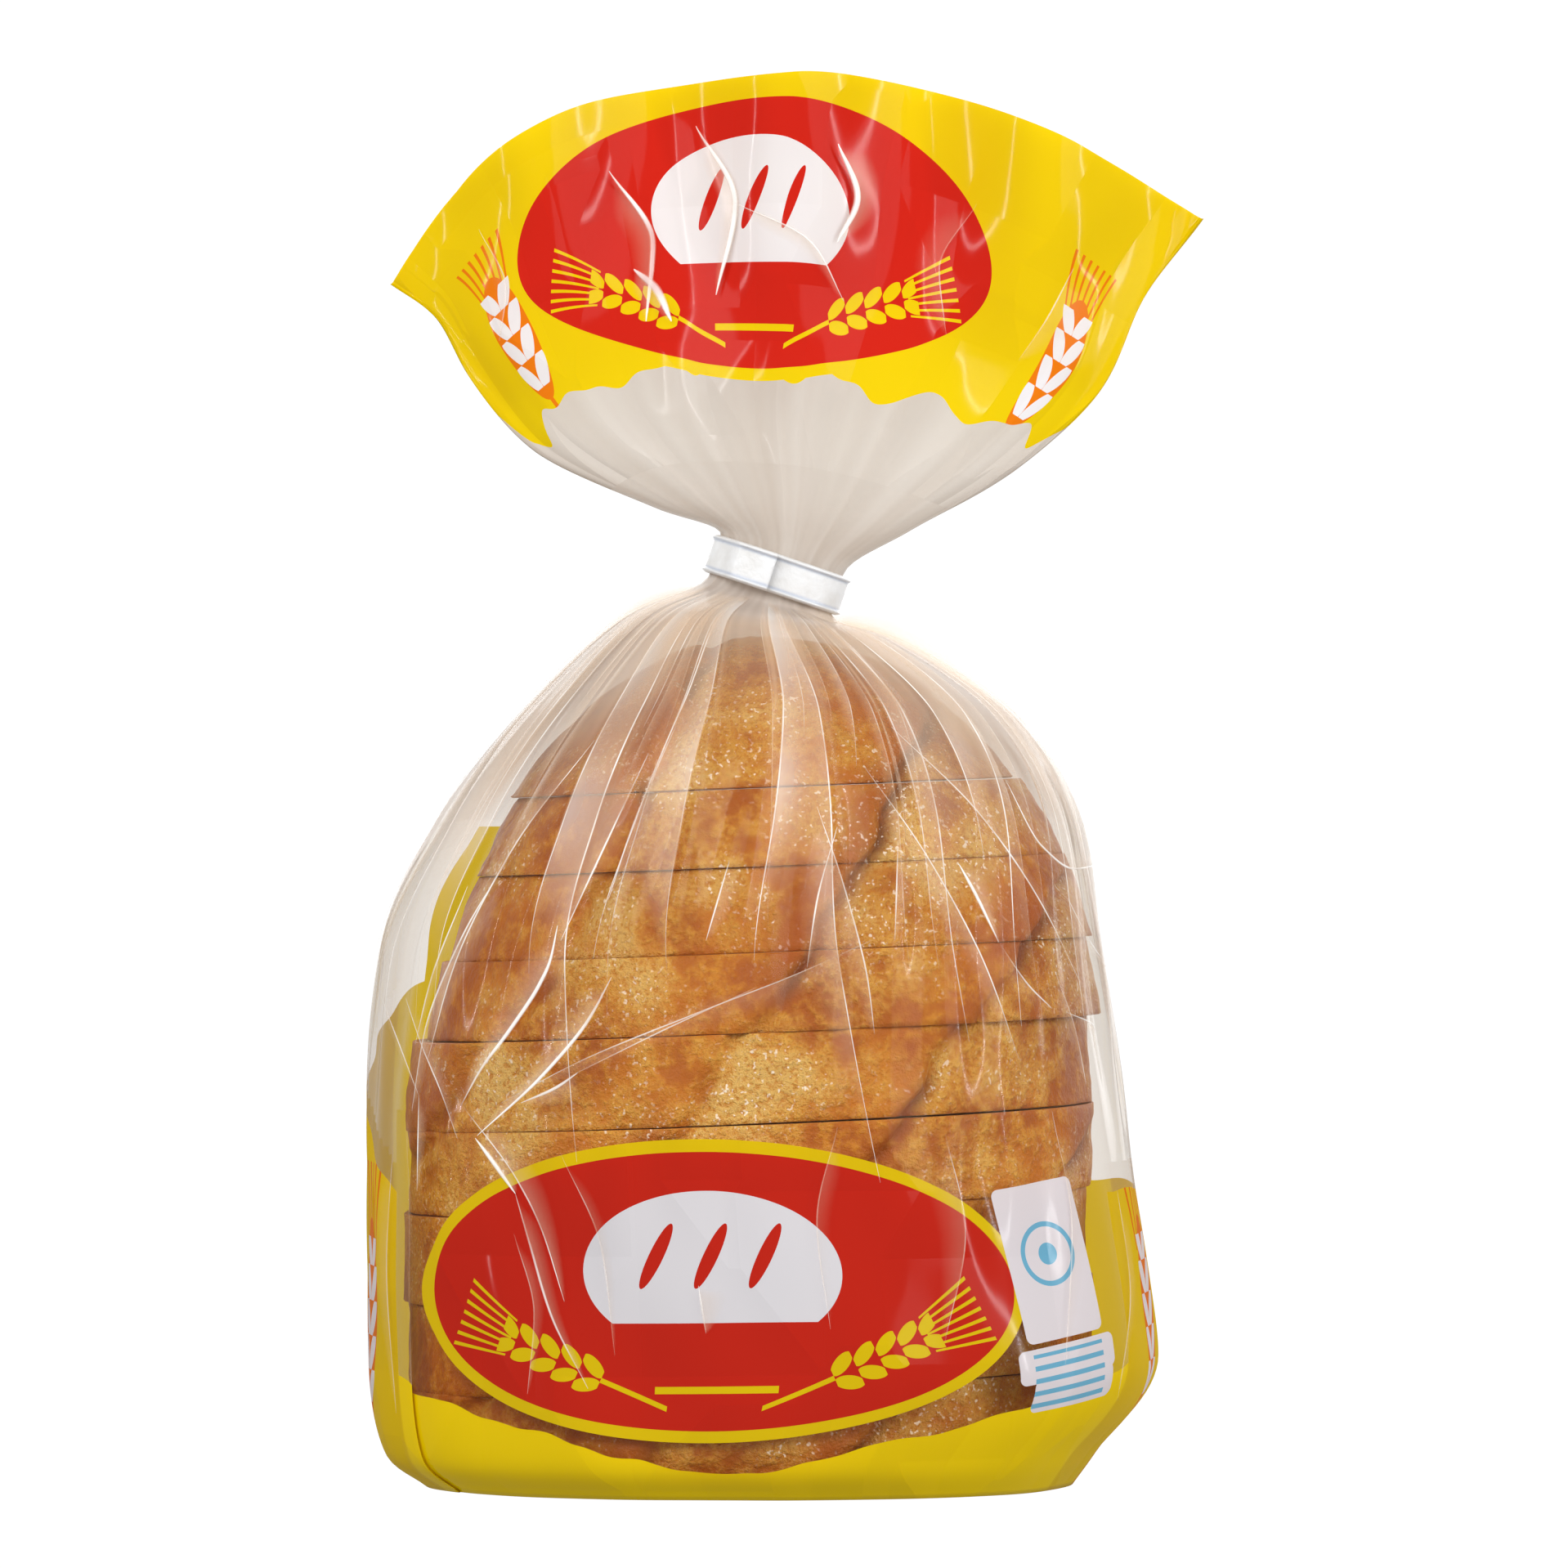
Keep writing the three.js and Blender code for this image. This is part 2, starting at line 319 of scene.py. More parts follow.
# Sharp creases of the front film, drawn as lines of painted highlight: their routes in the front view,
# width, and how strongly they show.
CREASES = [
    ([(-33.5, 86.2), (-34.6, 81), (-36.4, 77), (-41, 70), (-44.8, 64.8), (-48, 59)], 0.8, 1.0),
    ([(-25.5, 78.5), (-29, 72), (-36, 63.5), (-45.5, 54.6)], 0.7, 1.0),
    ([(-45.8, 54.2), (-43, 50.5), (-39.8, 46)], 0.9, 1.0),
    ([(-56.5, 75), (-54, 68), (-51, 61), (-48.5, 54)], 0.35, 0.6),
    ([(-47, 92), (-52.5, 78), (-55, 68)], 0.5, 0.5),
    ([(-41, 96), (-48, 84), (-53.5, 70), (-55.5, 58)], 0.5, 0.6),
    ([(-30.5, 64.2), (-34, 61.8), (-39, 59.6)], 0.6, 0.7),
    ([(-49, 60.6), (-39.8, 48.5), (-36, 41), (-32.5, 30)], 0.35, 0.6),
    ([(-39.8, 46), (-37.5, 38), (-34.5, 28), (-29, 17)], 0.5, 0.5),
    ([(-54.4, 60.5), (-54.7, 46)], 0.35, 0.8),
    ([(-60.5, 75), (-57.5, 68), (-54.5, 60.5)], 0.35, 0.6),
    ([(26, 95.4), (28.4, 91), (32, 83.5)], 0.7, 0.9),
    ([(32, 83.5), (36.5, 77), (40, 73.5)], 0.4, 0.5),
    ([(33, 108), (38.5, 98), (43.5, 94.5), (48, 95)], 0.45, 0.7),
    ([(42.5, 90), (45.6, 84), (49.5, 78.5)], 0.35, 0.6),
    ([(40.5, 79), (43.6, 70), (45.2, 62)], 0.4, 0.6),
    ([(42, 73), (46.5, 70.5), (46.8, 67)], 0.4, 0.7),
    ([(-12.6, 32.5), (-11.5, 25.4)], 0.4, 0.6),
    ([(13, 84), (2, 79), (-12, 73.5), (-30, 66), (-42, 59.5)], 0.3, 0.4),
    ([(-4, 77), (-17, 71), (-32, 63.5)], 0.3, 0.35),
    ([(5, 104), (9, 92), (12.5, 78), (13.5, 70)], 0.35, 0.6),
    ([(12, 110), (21, 97), (30, 80), (35, 66)], 0.35, 0.6),
    ([(16, 116), (29, 103), (38, 90), (44.5, 77)], 0.4, 0.6),
    ([(-28, 114), (-40, 98), (-49, 80), (-53, 66)], 0.4, 0.6),
    ([(-16, 116), (-22, 102), (-26, 90)], 0.35, 0.6),
    ([(-33, 52), (-27, 38), (-25, 22)], 0.3, 0.35),
    ([(-40, 40), (-37, 28), (-38, 16)], 0.3, 0.35),
    ([(8, 56), (5, 42), (7, 26)], 0.3, 0.3),
    ([(24, 55), (27, 40), (24, 24)], 0.3, 0.35),
    ([(40, 58), (43, 40), (42, 20)], 0.3, 0.4),
    ([(50, 46), (52, 30), (50, 14)], 0.35, 0.4),
    ([(-58.5, 52), (-59.5, 34), (-58, 12)], 0.35, 0.4),
    ([(-13, 208), (-7, 196), (-10, 182)], 1.2, 0.85),
    ([(-7, 196), (4, 190), (9, 181)], 0.4, 0.6),
    ([(8, 205), (11, 197), (8, 190)], 1.4, 0.85),
    ([(-27, 201), (-20, 190), (-21, 178)], 1.1, 0.8),
    ([(-23, 186), (-19.5, 183), (-17, 178)], 1.6, 0.9),
    ([(30, 196), (24, 186), (25, 176)], 0.3, 0.3),
    ([(-46, 192), (-42, 183), (-43, 175)], 0.35, 0.35),
    ([(44, 186), (40, 178), (36, 172)], 0.3, 0.35),
    ([(8, 101), (5, 90), (3.5, 80)], 0.35, 0.6),
    ([(-8, 96), (-11.5, 84)], 0.35, 0.6),
    ([(-20, 112), (-27, 97), (-33, 84)], 0.4, 0.7),
    ([(17, 99), (16.5, 84)], 0.35, 0.5),
]


def ring_lengths():
    """How wide the bag is round each level, as a share of the film's width."""
    levels = np.linspace(0, LEVEL["mouth"], 281)
    level, angle = np.meshgrid(levels, np.linspace(0, 2 * math.pi, 181), indexing="ij")
    ring = bag_surface(level, angle)
    length = np.linalg.norm(np.diff(ring, axis=1), axis=-1).sum(axis=1)
    return lambda level: np.interp(level, levels, length / FILM_WIDTH)


RING_SPREAD = ring_lengths()


def seamless(across, up):
    """Places for noise on the film that meet themselves at the seam behind."""
    turn, radius = across * (2 * math.pi / FILM_WIDTH), FILM_WIDTH / (2 * math.pi)
    return np.stack([np.cos(turn) * radius, np.sin(turn) * radius, up], axis=-1)


def film_ripple(across, height):
    """Shallow waves of the film over the loaf, in millimetres outward."""
    strongest = smoothstep(height, 20, 90) * (1 - smoothstep(height, 96, 122))
    upright = 0.45 * np.sin(across * 0.62 + 1.1 * np.sin(height * 0.045)) * strongest
    slanting = 0.35 * np.sin(across * 0.21 + height * 0.06) * np.cos(height * 0.11 + across * 0.05)
    return upright + slanting


def freedom(level):
    """The share of its lift that the film keeps: a quarter under the tie, and more away from it."""
    low, high = LEVEL["neck foot"], LEVEL["neck top"]
    away = np.minimum(np.abs(level - low), np.abs(level - high))
    away = np.where((level > low) & (level < high), 0, away)
    return lerp(0.25, 1, smoothstep(away, 0, 0.8))


# How far small crinkles stand out where the film is clear and where it is printed, and the fan's dents.
CRINKLE = {"clear": 0.55, "print": 0.2}
DENTS = 1.3
MOST_GATHER = 5


def film_points(levels, folds, strength_of):
    """The film's points at the levels, and for each point its place across from the front's middle,
    its level, how closely the film is gathered there and how far it is folded."""
    places = film_places()
    across, level = np.meshgrid(places, levels)
    height = bag_surface(level, angle_of(across))[..., 2]
    place, lift, folded = fold_film(across, height, folds, lambda end: strength_of(level, end))
    corner, _ = fold_shape(across, CORNER_FOLD["across"], CORNER_FOLD["width"])
    held = 1 - smoothstep(height, CORNER_FOLD["top"] - CORNER_FOLD["run"], CORNER_FOLD["top"])
    place = place - CORNER_FOLD["strength"] * held * CORNER_FOLD["width"] / (2 * math.pi) * corner

    from_front = centred(across)
    body = 1 - smoothstep(level, LEVEL["fan root"], LEVEL["fan low"])
    lift = lift + film_ripple(from_front, height) * body - CORNER_FOLD["dip"] * held * corner
    lift = lift * freedom(level)
    crinkled = lerp(CRINKLE["print"], CRINKLE["clear"], body * smoothstep(height, 44, 60))
    lift = lift + crinkled * noise_at(seamless(across, height * 0.3), 8.5, 12)
    lift = lift + DENTS * (1 - body) * noise_at(seamless(across, height * 0.8), 15, 13)
    angle = angle_of(place)
    points = bag_surface(level, angle) + outward(level, angle) * (lift * RING_SPREAD(level))[..., None]

    apart = np.linalg.norm(np.gradient(points, axis=1), axis=-1)
    spacing = np.gradient(np.concatenate([places, [FILM_WIDTH]]))[:-1]
    gather = np.clip(spacing / np.maximum(apart, 1e-6), 1, MOST_GATHER)
    return points, from_front, level, gather, folded


def levels_by_height(low, high, step):
    """Levels whose rings lie about one step apart, in millimetres along the film."""
    start, end = FILM_HEIGHT(np.array([low, high]))
    count = int(round((end - start) / step)) + 1
    table = np.linspace(low, high, 2001)
    return np.interp(np.linspace(start, end, count), FILM_HEIGHT(table), table)


def body_strength(level, end):
    height = np.minimum(lerp(PROFILE["left_z"](level), PROFILE["right_z"](level), 0.5), 140)
    smoothed = 1 - 0.65 * smoothstep(height, 104, 128)
    return BODY_FOLD_STRENGTH * smoothstep(height, end - 4, end + FOLD_RUN) * smoothed


def fan_strength(level, end):
    return FAN_FOLD_STRENGTH * (1 - smoothstep(level, end - 1.9, end))


# How milky one layer of film is: where it lies flat, folded, slack at the sides, over the shoulders
# and the crown of the loaf, and in the fan.
MILKINESS = {"flat": 0.008, "folded": 0.05, "slack": 0.25, "shoulder": 0.45, "crown": 0.26, "fan": 0.38}


def film_haze(across, level, gather, folded):
    """The share of light that the film scatters at each point, and how slack it hangs there."""
    sides = smoothstep(np.abs(across), 50, 74)
    top = smoothstep(level, LEVEL["collar"] - 0.45, LEVEL["collar"] + 0.35)
    high = smoothstep(level, LEVEL["belly"] + 0.4, LEVEL["shoulder"] + 0.5)
    shoulders = smoothstep(np.abs(across), 18, 64) * high
    heavier = 1 + 0.35 * smoothstep(-across, 14, 46)
    slack = np.maximum(np.maximum(sides, top), shoulders)
    crown = smoothstep(level, LEVEL["shoulder"] - 0.6, LEVEL["collar"] + 0.2)
    fan = smoothstep(level, LEVEL["neck foot"], LEVEL["fan root"])
    single = MILKINESS["flat"] + MILKINESS["folded"] * folded
    above = MILKINESS["slack"] * slack + MILKINESS["crown"] * crown
    above = above + MILKINESS["shoulder"] * shoulders * heavier
    single = single + above * (1 - fan) + MILKINESS["fan"] * fan
    return 1 - (1 - np.minimum(single, 0.9)) ** (0.4 + 0.6 * gather), slack


# How far out from the middle line each ring of the bag's foot lies.
FOOT_SHARES = [0.0, 0.25, 0.5, 0.75, 0.93]


def foot_rings(edge):
    """Rings that close the bag's foot, from a line along its middle out to its edge."""
    rings = []
    for number, share in enumerate(FOOT_SHARES):
        ring = edge.copy()
        ring[:, 0] = lerp(edge[:, 0] * 0.9, edge[:, 0], share)
        ring[:, 1] = lerp(PROFILE["plane"](0), edge[:, 1], share)
        ring[:, 2] = 0.55 + 0.3 * math.cos(number * 1.7)
        rings.append(ring)
    return np.array(rings)


def lengthened(values, count):
    """The same rows, with the first one repeated before them."""
    return np.concatenate([np.repeat(values[:1], count, 0), values])


def film_piece(name, levels, folds, strength_of, closed_foot):
    points, across, level, gather, folded = film_points(levels, folds, strength_of)
    haze, slack = film_haze(across, level, gather, folded)
    along = FILM_HEIGHT(level)
    lengthwise = seamless(across, along * 0.06)
    calm = 1 - 0.5 * smoothstep(level, LEVEL["shoulder"], LEVEL["collar"])
    # Streaks of milkiness; in the film's colour they also paint soft shade along the pleats.
    streak = 0.5 + (0.6 * noise_at(lengthwise, 10, 14) + 0.3 * noise_at(lengthwise, 4.5, 15)) * calm
    marks = {"haze": np.clip(haze * (0.6 + 0.8 * streak), 0, 1), "slack": slack, "streak": streak}
    if closed_foot:
        rings = foot_rings(points[0])
        below = -np.abs(points[0, :, 1] - rings[..., 1])
        points = np.concatenate([rings, points])
        across = lengthened(across, len(rings))
        along = np.concatenate([below, along])
        marks = {key: lengthened(values, len(rings)) for key, values in marks.items()}
    piece = mesh_object(name, points, ring_faces(len(points), FILM_COLUMNS))
    set_film_map(piece, across, along)
    for key, values in marks.items():
        set_attribute(piece, key, values)
    return piece


def front_finder():
    """A search for the film's point, and the way out of the bag, at an (x, z) of the front view."""
    levels, angles = np.linspace(0, LEVEL["mouth"], 480), np.linspace(math.pi, 2 * math.pi, 240)
    level, angle = np.meshgrid(levels, angles, indexing="ij")
    surface = bag_surface(level, angle).reshape(-1, 3)
    out = outward(level, angle).reshape(-1, 3)
    tree = kdtree.KDTree(len(surface))
    for number, (x, _, z) in enumerate(surface.tolist()):
        tree.insert((x, z, 0), number)
    tree.balance()

    def find(flat):
        found = np.array([tree.find((x, z, 0))[1] for x, z in flat])
        places = surface[found]
        places[:, 0], places[:, 2] = flat[:, 0], flat[:, 1]
        depth = np.pad(places[:, 1], 2, mode="edge")
        places[:, 1] = np.convolve(depth, np.ones(5) / 5, mode="valid")
        return places, out[found]
    return find


def drawn_creases():
    """The creases of CREASES, laid on the film: points, the way out, width and strength."""
    find = front_finder()
    for route, width, strength in CREASES:
        corners = np.array(route, float)
        count = int(np.linalg.norm(np.diff(corners, axis=0), axis=1).sum() / 0.7) + 2
        along = np.linspace(0, len(corners) - 1, count)
        flat = np.stack([level_curve(corners[:, 0])(along), level_curve(corners[:, 1])(along)], axis=-1)
        middle, out = find(flat)
        veil = {"width": rng.uniform(1.5, 5.0), "strength": 0.4 * strength, "side": rng.choice((-1, 1))}
        yield middle, out, width, strength, veil


def film_line(levels, across, lean, lowest, drift=0.0):
    """A line that runs down the film to a height: its levels, its points and the way out."""
    height = bag_surface(levels, np.full_like(levels, angle_of(across)))[:, 2]
    shown = height > lowest
    levels, height = levels[shown][::3], height[shown][::3]
    share = np.linspace(1, 0, len(levels))
    angle = angle_of(across + lean * (FOLD_PIVOT - height) + drift * share)
    return levels, bag_surface(levels, angle), outward(levels, angle)


def fold_edges():
    """A line along the edge of each fold in front, from the neck down to where the fold runs out, painted as
    a highlight where it is strong.
    """
    table = np.linspace(0, LEVEL["neck foot"] - 0.15, 400)
    for number, (across, width, end, _, lean) in enumerate(BODY_FOLDS):
        way = 1 if number % 2 else -1
        lowest = end - rng.uniform(0, 26)
        levels, middle, out = film_line(table, across, lean, lowest, way * width * 0.3)
        faded = smoothstep(RING_SPREAD(levels), 0.25, 0.6)
        veil = {"width": width * rng.uniform(0.4, 1.1), "strength": rng.uniform(0.12, 0.52), "side": way}
        yield middle, out, rng.uniform(0.25, 0.4), rng.uniform(0.2, 0.8) * faded, veil


def stray_lines():
    """Finer lines between the folds, which fan out of the neck and fade over the heel, painted as faint
    highlights.
    """
    table = np.linspace(LEVEL["waist"], LEVEL["neck foot"] - 0.3, 260)
    for _ in range(STRAY_LINES):
        across, lean = rng.uniform(-72, 72), rng.uniform(-0.12, 0.12)
        levels, middle, out = film_line(table, across, lean, rng.uniform(70, 120))
        veil = {"width": rng.uniform(0.8, 4.5), "strength": rng.uniform(0.1, 0.4)}
        veil["side"] = rng.choice((-1, 1))
        faded = smoothstep(RING_SPREAD(levels), 0.12, 0.4)
        yield middle, out, 0.25, rng.uniform(0.15, 0.5) * faded, veil


# A crease across its own width: the place from -1 to 1, its rise and its share of the strength.
CREASE_SECTION = [(-1, -0.1, 0), (-0.4, 0.3, 1), (0.4, 0.3, 1), (1, -0.1, 0)]
VEIL_SECTION = [(-0.04, 0, 0), (0, 0, 1), (0.25, 0.02, 0.8), (0.6, 0.02, 0.4), (1, 0, 0)]


def crease_piece():
    """The sharp creases as thin ridges pinched out of the film, painted as bright highlight lines, and the
    milky veil of doubled film that hangs at one side of each."""
    points, faces, strengths = [], [], []

    def lay(middle, out, widths, section, strength, side, lift):
        count = len(middle)
        aside = np.cross(np.gradient(middle, axis=0), out)
        aside *= side / np.linalg.norm(aside, axis=1, keepdims=True)
        start = len(points)
        for place, rise, share in section:
            ring = middle + aside * (place * widths)[:, None] + out * (lift + rise * widths)[:, None]
            points.extend(ring.tolist())
            strengths.extend((share * strength).tolist())
        for i in range(len(section) - 1):
            for j in range(count - 1):
                a = start + i * count + j
                faces.append([a, a + 1, a + count + 1, a + count])

    for middle, out, width, strength, veil in (*drawn_creases(), *fold_edges(), *stray_lines()):
        run = np.linspace(0.02, 0.98, len(middle))
        taper = np.sin(math.pi * run) ** 0.7
        uneven = 1 + 0.9 * noise_at(middle, 7, 8)
        lay(middle, out, taper * width / 2, CREASE_SECTION, np.clip(strength * uneven, 0, 1), 1, CREASE_LIFT)
        hang = np.sin(math.pi * run ** 0.6) ** 0.8 * smoothstep(run, 0, 0.25) * veil["width"]
        milk = veil["strength"] * (0.75 + 0.5 * noise_at(middle, 16, 9))
        milk = milk * smoothstep(run, 0, 0.3) * smoothstep(1 - run, 0, 0.12)
        lay(middle, out, hang, VEIL_SECTION, np.clip(milk, 0, 1), veil["side"], CREASE_LIFT - 0.1)
    piece = mesh_object("film_creases_painted_highlights", points, faces)
    set_attribute(piece, "strength", strengths)
    return piece


# Bread

LOAF = {
    "half_width": 52.4, "front": 45.5, "back": 24.5, "plane": 10, "top": 130, "end_length": 72,
    "centre_x": -5.3, "centre_y": 2, "front_square": 2.2, "back_square": 4.6, "foot": 3.3,
}
LOAF_MIDDLE = np.array([LOAF["centre_x"], LOAF["centre_y"]])
LOAF_END = LOAF["top"] - LOAF["end_length"]
SLICE_THICKNESSES = [13.4, 13.5, 13.5, 12.8, 13.6, 12.0, 12.9, 11.8]
SLICE_GAP = 0.06
SLICE_SLOPE = math.radians(2.3)
SLICE_SHIFTS = [-0.2, 0.4, -0.5, 0.3, 0.0, 2.4, 3.4, 3.2, 2.0]
CRUST_THICKNESS = 2.0
CRUST_STEP = 0.8
CRUST_COLUMNS = 300
CRUST_ANGLES = round_angles(CRUST_COLUMNS)
CRUMB_COLUMNS = 120
CRUMB_SHARES = [0.01, 0.18, 0.36, 0.54, 0.7, 0.84, 0.94, 1.0]
# The slashes on the loaf's top: where each crosses the height of SLASH_LEVEL, and how it leans.
SLASH_LEVEL = 71
SLASH_LEAN = 0.64
SLASH_PLACES = [-84, -44.5, -5.6, 28, 60]
SLASH_BEND = 0.0035


def loaf_point(height, angle):
    """The loaf's smooth surface, before slicing."""
    t = np.clip((height - LOAF_END) / LOAF["end_length"], 0, 1)
    pressed = 1 - 0.04 * (1 - smoothstep(height, LOAF["foot"], LOAF["foot"] + 5))
    size = np.sqrt(np.maximum(1 - t * t, 0)) * pressed
    across, deep = np.cos(angle), np.sin(angle)
    in_front = deep < 0
    round_off = smoothstep(t, 0.35, 0.95)
    square = np.where(in_front, LOAF["front_square"], lerp(LOAF["back_square"], 2.3, round_off))
    reach = np.where(in_front, LOAF["front"], LOAF["back"])
    x = LOAF["centre_x"] + signed_power(across, 2 / square) * LOAF["half_width"] * size
    y = lerp(LOAF["centre_y"], LOAF["plane"], size) + signed_power(deep, 2 / square) * reach * size
    return np.stack([x, y, height + 0 * x], axis=-1)


def slash_marks(points):
    """For points of the crust: how deep they lie in a slash's crease, how far the slash has opened at
    its right, and the raised lip at its left."""
    x, z = points[..., 0], points[..., 2]
    wobble = 1.1 * np.sin(z * 0.33 + 1.0) + 0.7 * np.sin(z * 0.71 + x * 0.1)
    marks = {"crease": 0, "bloom": 0, "lip": 0}
    upright = 1 / math.hypot(1, SLASH_LEAN)
    for place in SLASH_PLACES:
        line = place + SLASH_LEAN * (z - SLASH_LEVEL) - SLASH_BEND * (z - SLASH_LEVEL) ** 2 * 0.5
        right = (x - line - wobble * 0.6) * upright
        near = {
            "crease": np.exp(-(right / np.where(right > 0, 1.5, 0.8)) ** 2),
            "bloom": smoothstep(right, -0.3, 1.8) * (1 - smoothstep(right, 11, 21)),
            "lip": np.exp(-((right + 3.0) / 3.2) ** 2),
        }
        marks = {key: np.maximum(marks[key], values) for key, values in near.items()}
    front = smoothstep(-points[..., 1], -14, 4)
    return {key: values * front for key, values in marks.items()}


def crust_relief(points, marks):
    """How far the baked skin stands out from the loaf's smooth surface."""
    lumps = 0.55 * noise_at(points, 9, 1) + 0.22 * noise_at(points, 3.1, 2)
    blisters = np.maximum(noise_at(points, 2.1, 3), 0) * (0.25 + 0.75 * marks["bloom"])
    return lumps + 0.42 * blisters - 1.5 * marks["crease"] + 0.5 * marks["lip"] - 0.35 * marks["bloom"]


def slice_pose(number, height):
    """How a slice lies: the middle that it turns about, its shift and its three small angles."""
    return {
        "middle": np.array([LOAF["centre_x"], 0, height]),
        "shift": np.array([SLICE_SHIFTS[number], rng.uniform(-0.5, 0.4), 0]),
        "slope": SLICE_SLOPE + math.radians(rng.uniform(-0.2, 0.2)),
        "pitch": math.radians(rng.uniform(-0.2, 0.2)),
        "turn": math.radians(rng.uniform(-0.6, 0.6)),
    }


def place_slice(points, pose):
    """Points of the whole loaf, moved to where their slice lies."""
    x, y, z = np.moveaxis(points - pose["middle"], -1, 0)
    c, s = math.cos(pose["turn"]), math.sin(pose["turn"])
    up = z + x * math.tan(pose["slope"]) + y * math.tan(pose["pitch"])
    return np.stack([x * c - y * s, x * s + y * c, up], axis=-1) + pose["middle"] + pose["shift"]


def towards_middle(ring, inset):
    """A ring of points moved in by a distance, towards the middle of the slice."""
    flat = ring[..., :2] - LOAF_MIDDLE
    length = np.linalg.norm(flat, axis=-1, keepdims=True)
    moved = ring.copy()
    moved[..., :2] = LOAF_MIDDLE + flat * np.maximum(1 - inset / np.maximum(length, 1e-6), 0.05)
    return moved


def crust_piece(name, low, high, pose):
    """The crust of one slice: a ring with its outer skin in relief, closed on the inside."""
    heights = np.linspace(low, high, max(int((high - low) / CRUST_STEP), 8))
    skin = loaf_point(heights[:, None], CRUST_ANGLES)
    marks = slash_marks(skin)
    out = unit(skin[..., :2] - LOAF_MIDDLE)
    skin[..., :2] += out * crust_relief(skin, marks)[..., None]
    bevel = np.maximum(0.1 + 0.24 * noise_at(skin[[0, -1]], 7, 11), 0.01)[..., None]
    foot_edge = towards_middle(skin[0], bevel[0])
    head_edge = towards_middle(skin[-1], bevel[1])
    skin[0, :, 2] += bevel[0, :, 0] * 0.7
    skin[-1, :, 2] -= bevel[1, :, 0] * 0.7
    inner = [towards_middle(edge, CRUST_THICKNESS) for edge in (head_edge, foot_edge)]
    rings = np.concatenate([[foot_edge], skin, [head_edge], inner])
    faces = ring_faces(len(rings), CRUST_COLUMNS)
    last = (len(rings) - 1) * CRUST_COLUMNS
    for i in range(CRUST_COLUMNS):
        beside = (i + 1) % CRUST_COLUMNS
        faces.append([last + i, last + beside, beside, i])
    piece = mesh_object(name, place_slice(rings, pose), faces)
    for key, values in marks.items():
        set_attribute(piece, key, np.concatenate([values[:1], values, values[-1:], 0 * values[:2]]))
    cut = np.zeros(rings.shape[:2])
    cut[[0, -3, -2, -1]] = 1
    set_attribute(piece, "cut", cut)
    set_attribute(piece, "tone", np.full(rings.shape[:2], rng.uniform(0, 1)))
    return piece


def heel_piece(name, low, pose):
    """The crust of the loaf's rounded end, closed below."""
    start = math.asin((low - LOAF_END) / LOAF["end_length"])
    heights = LOAF_END + LOAF["end_length"] * np.sin(np.linspace(start, math.radians(88), 74))
    heights[0] = low
    skin = loaf_point(heights[:, None], CRUST_ANGLES)
    marks = slash_marks(skin)
    half_axes = np.array([LOAF["half_width"], LOAF["front"], LOAF["end_length"]])
    out = unit((skin - np.array([*LOAF_MIDDLE, LOAF_END])) / half_axes ** 2)
    skin = skin + out * crust_relief(skin, marks)[..., None]
    skin[0, :, 2] = low + 0.2
    foot_edge = towards_middle(skin[0], 0.3)
    foot_edge[:, 2] = low
    foot_in = towards_middle(foot_edge, CRUST_THICKNESS)
    foot_up = towards_middle(foot_in, 0.2)
    foot_up[:, 2] = low + 1.5
    rings = np.concatenate([[foot_up, foot_in, foot_edge], skin])
    points = np.concatenate([rings.reshape(-1, 3), [skin[-1].mean(axis=0), foot_up.mean(axis=0)]])
    faces = ring_faces(len(rings), CRUST_COLUMNS)
    crown, floor = len(points) - 2, len(points) - 1
    for i in range(CRUST_COLUMNS):
        beside = (i + 1) % CRUST_COLUMNS
        faces.append([crown - CRUST_COLUMNS + i, crown - CRUST_COLUMNS + beside, crown])
        faces.append([beside, i, floor])
    piece = mesh_object(name, place_slice(points, pose), faces)
    before = 3 * CRUST_COLUMNS
    for key, values in marks.items():
        set_attribute(piece, key, np.pad(values.ravel(), (before, 2)))
    set_attribute(piece, "cut", np.arange(len(points)) < before)
    set_attribute(piece, "tone", np.full(len(points), 0.3))
    return piece


def crumb_piece(name, low, high, pose):
    """The soft inside of one slice, up to its crust, with a finely uneven cut face."""
    angle = round_angles(CRUMB_COLUMNS)
    rings = []
    for height, shares in ((low + 0.12, CRUMB_SHARES), (high - 0.12, CRUMB_SHARES[::-1])):
        edge = towards_middle(loaf_point(np.full(CRUMB_COLUMNS, height), angle), CRUST_THICKNESS + 0.1)
        for share in shares:
            ring = edge.copy()
            ring[:, :2] = lerp(LOAF_MIDDLE, edge[:, :2], share)
            rings.append(ring)
    rings = np.array(rings)
    uneven = 0.25 * noise_at(rings, 4, 5) + 0.15 * noise_at(rings, 1.6, 6)
    rings[..., 2] += uneven * np.where(rings[..., 2] < (low + high) / 2, 0.4, -0.4)
    faces = ring_faces(len(rings), CRUMB_COLUMNS)
    faces.append(list(range(CRUMB_COLUMNS))[::-1])
    faces.append([(len(rings) - 1) * CRUMB_COLUMNS + i for i in range(CRUMB_COLUMNS)])
    return mesh_object(name, place_slice(rings, pose), faces)


# Node writing

def feed(tree, slot, value):
    """Gives a node's input a Field, the output of another node, or a plain value."""
    if isinstance(value, Field):
        value = value.socket
    if isinstance(value, bpy.types.NodeSocket):
        tree.links.new(value, slot)
    else:
        slot.default_value = value


def node_maths(operation):
    """A method of Field for one kind of node maths."""
    return lambda field, *others: field.maths(operation, *others)


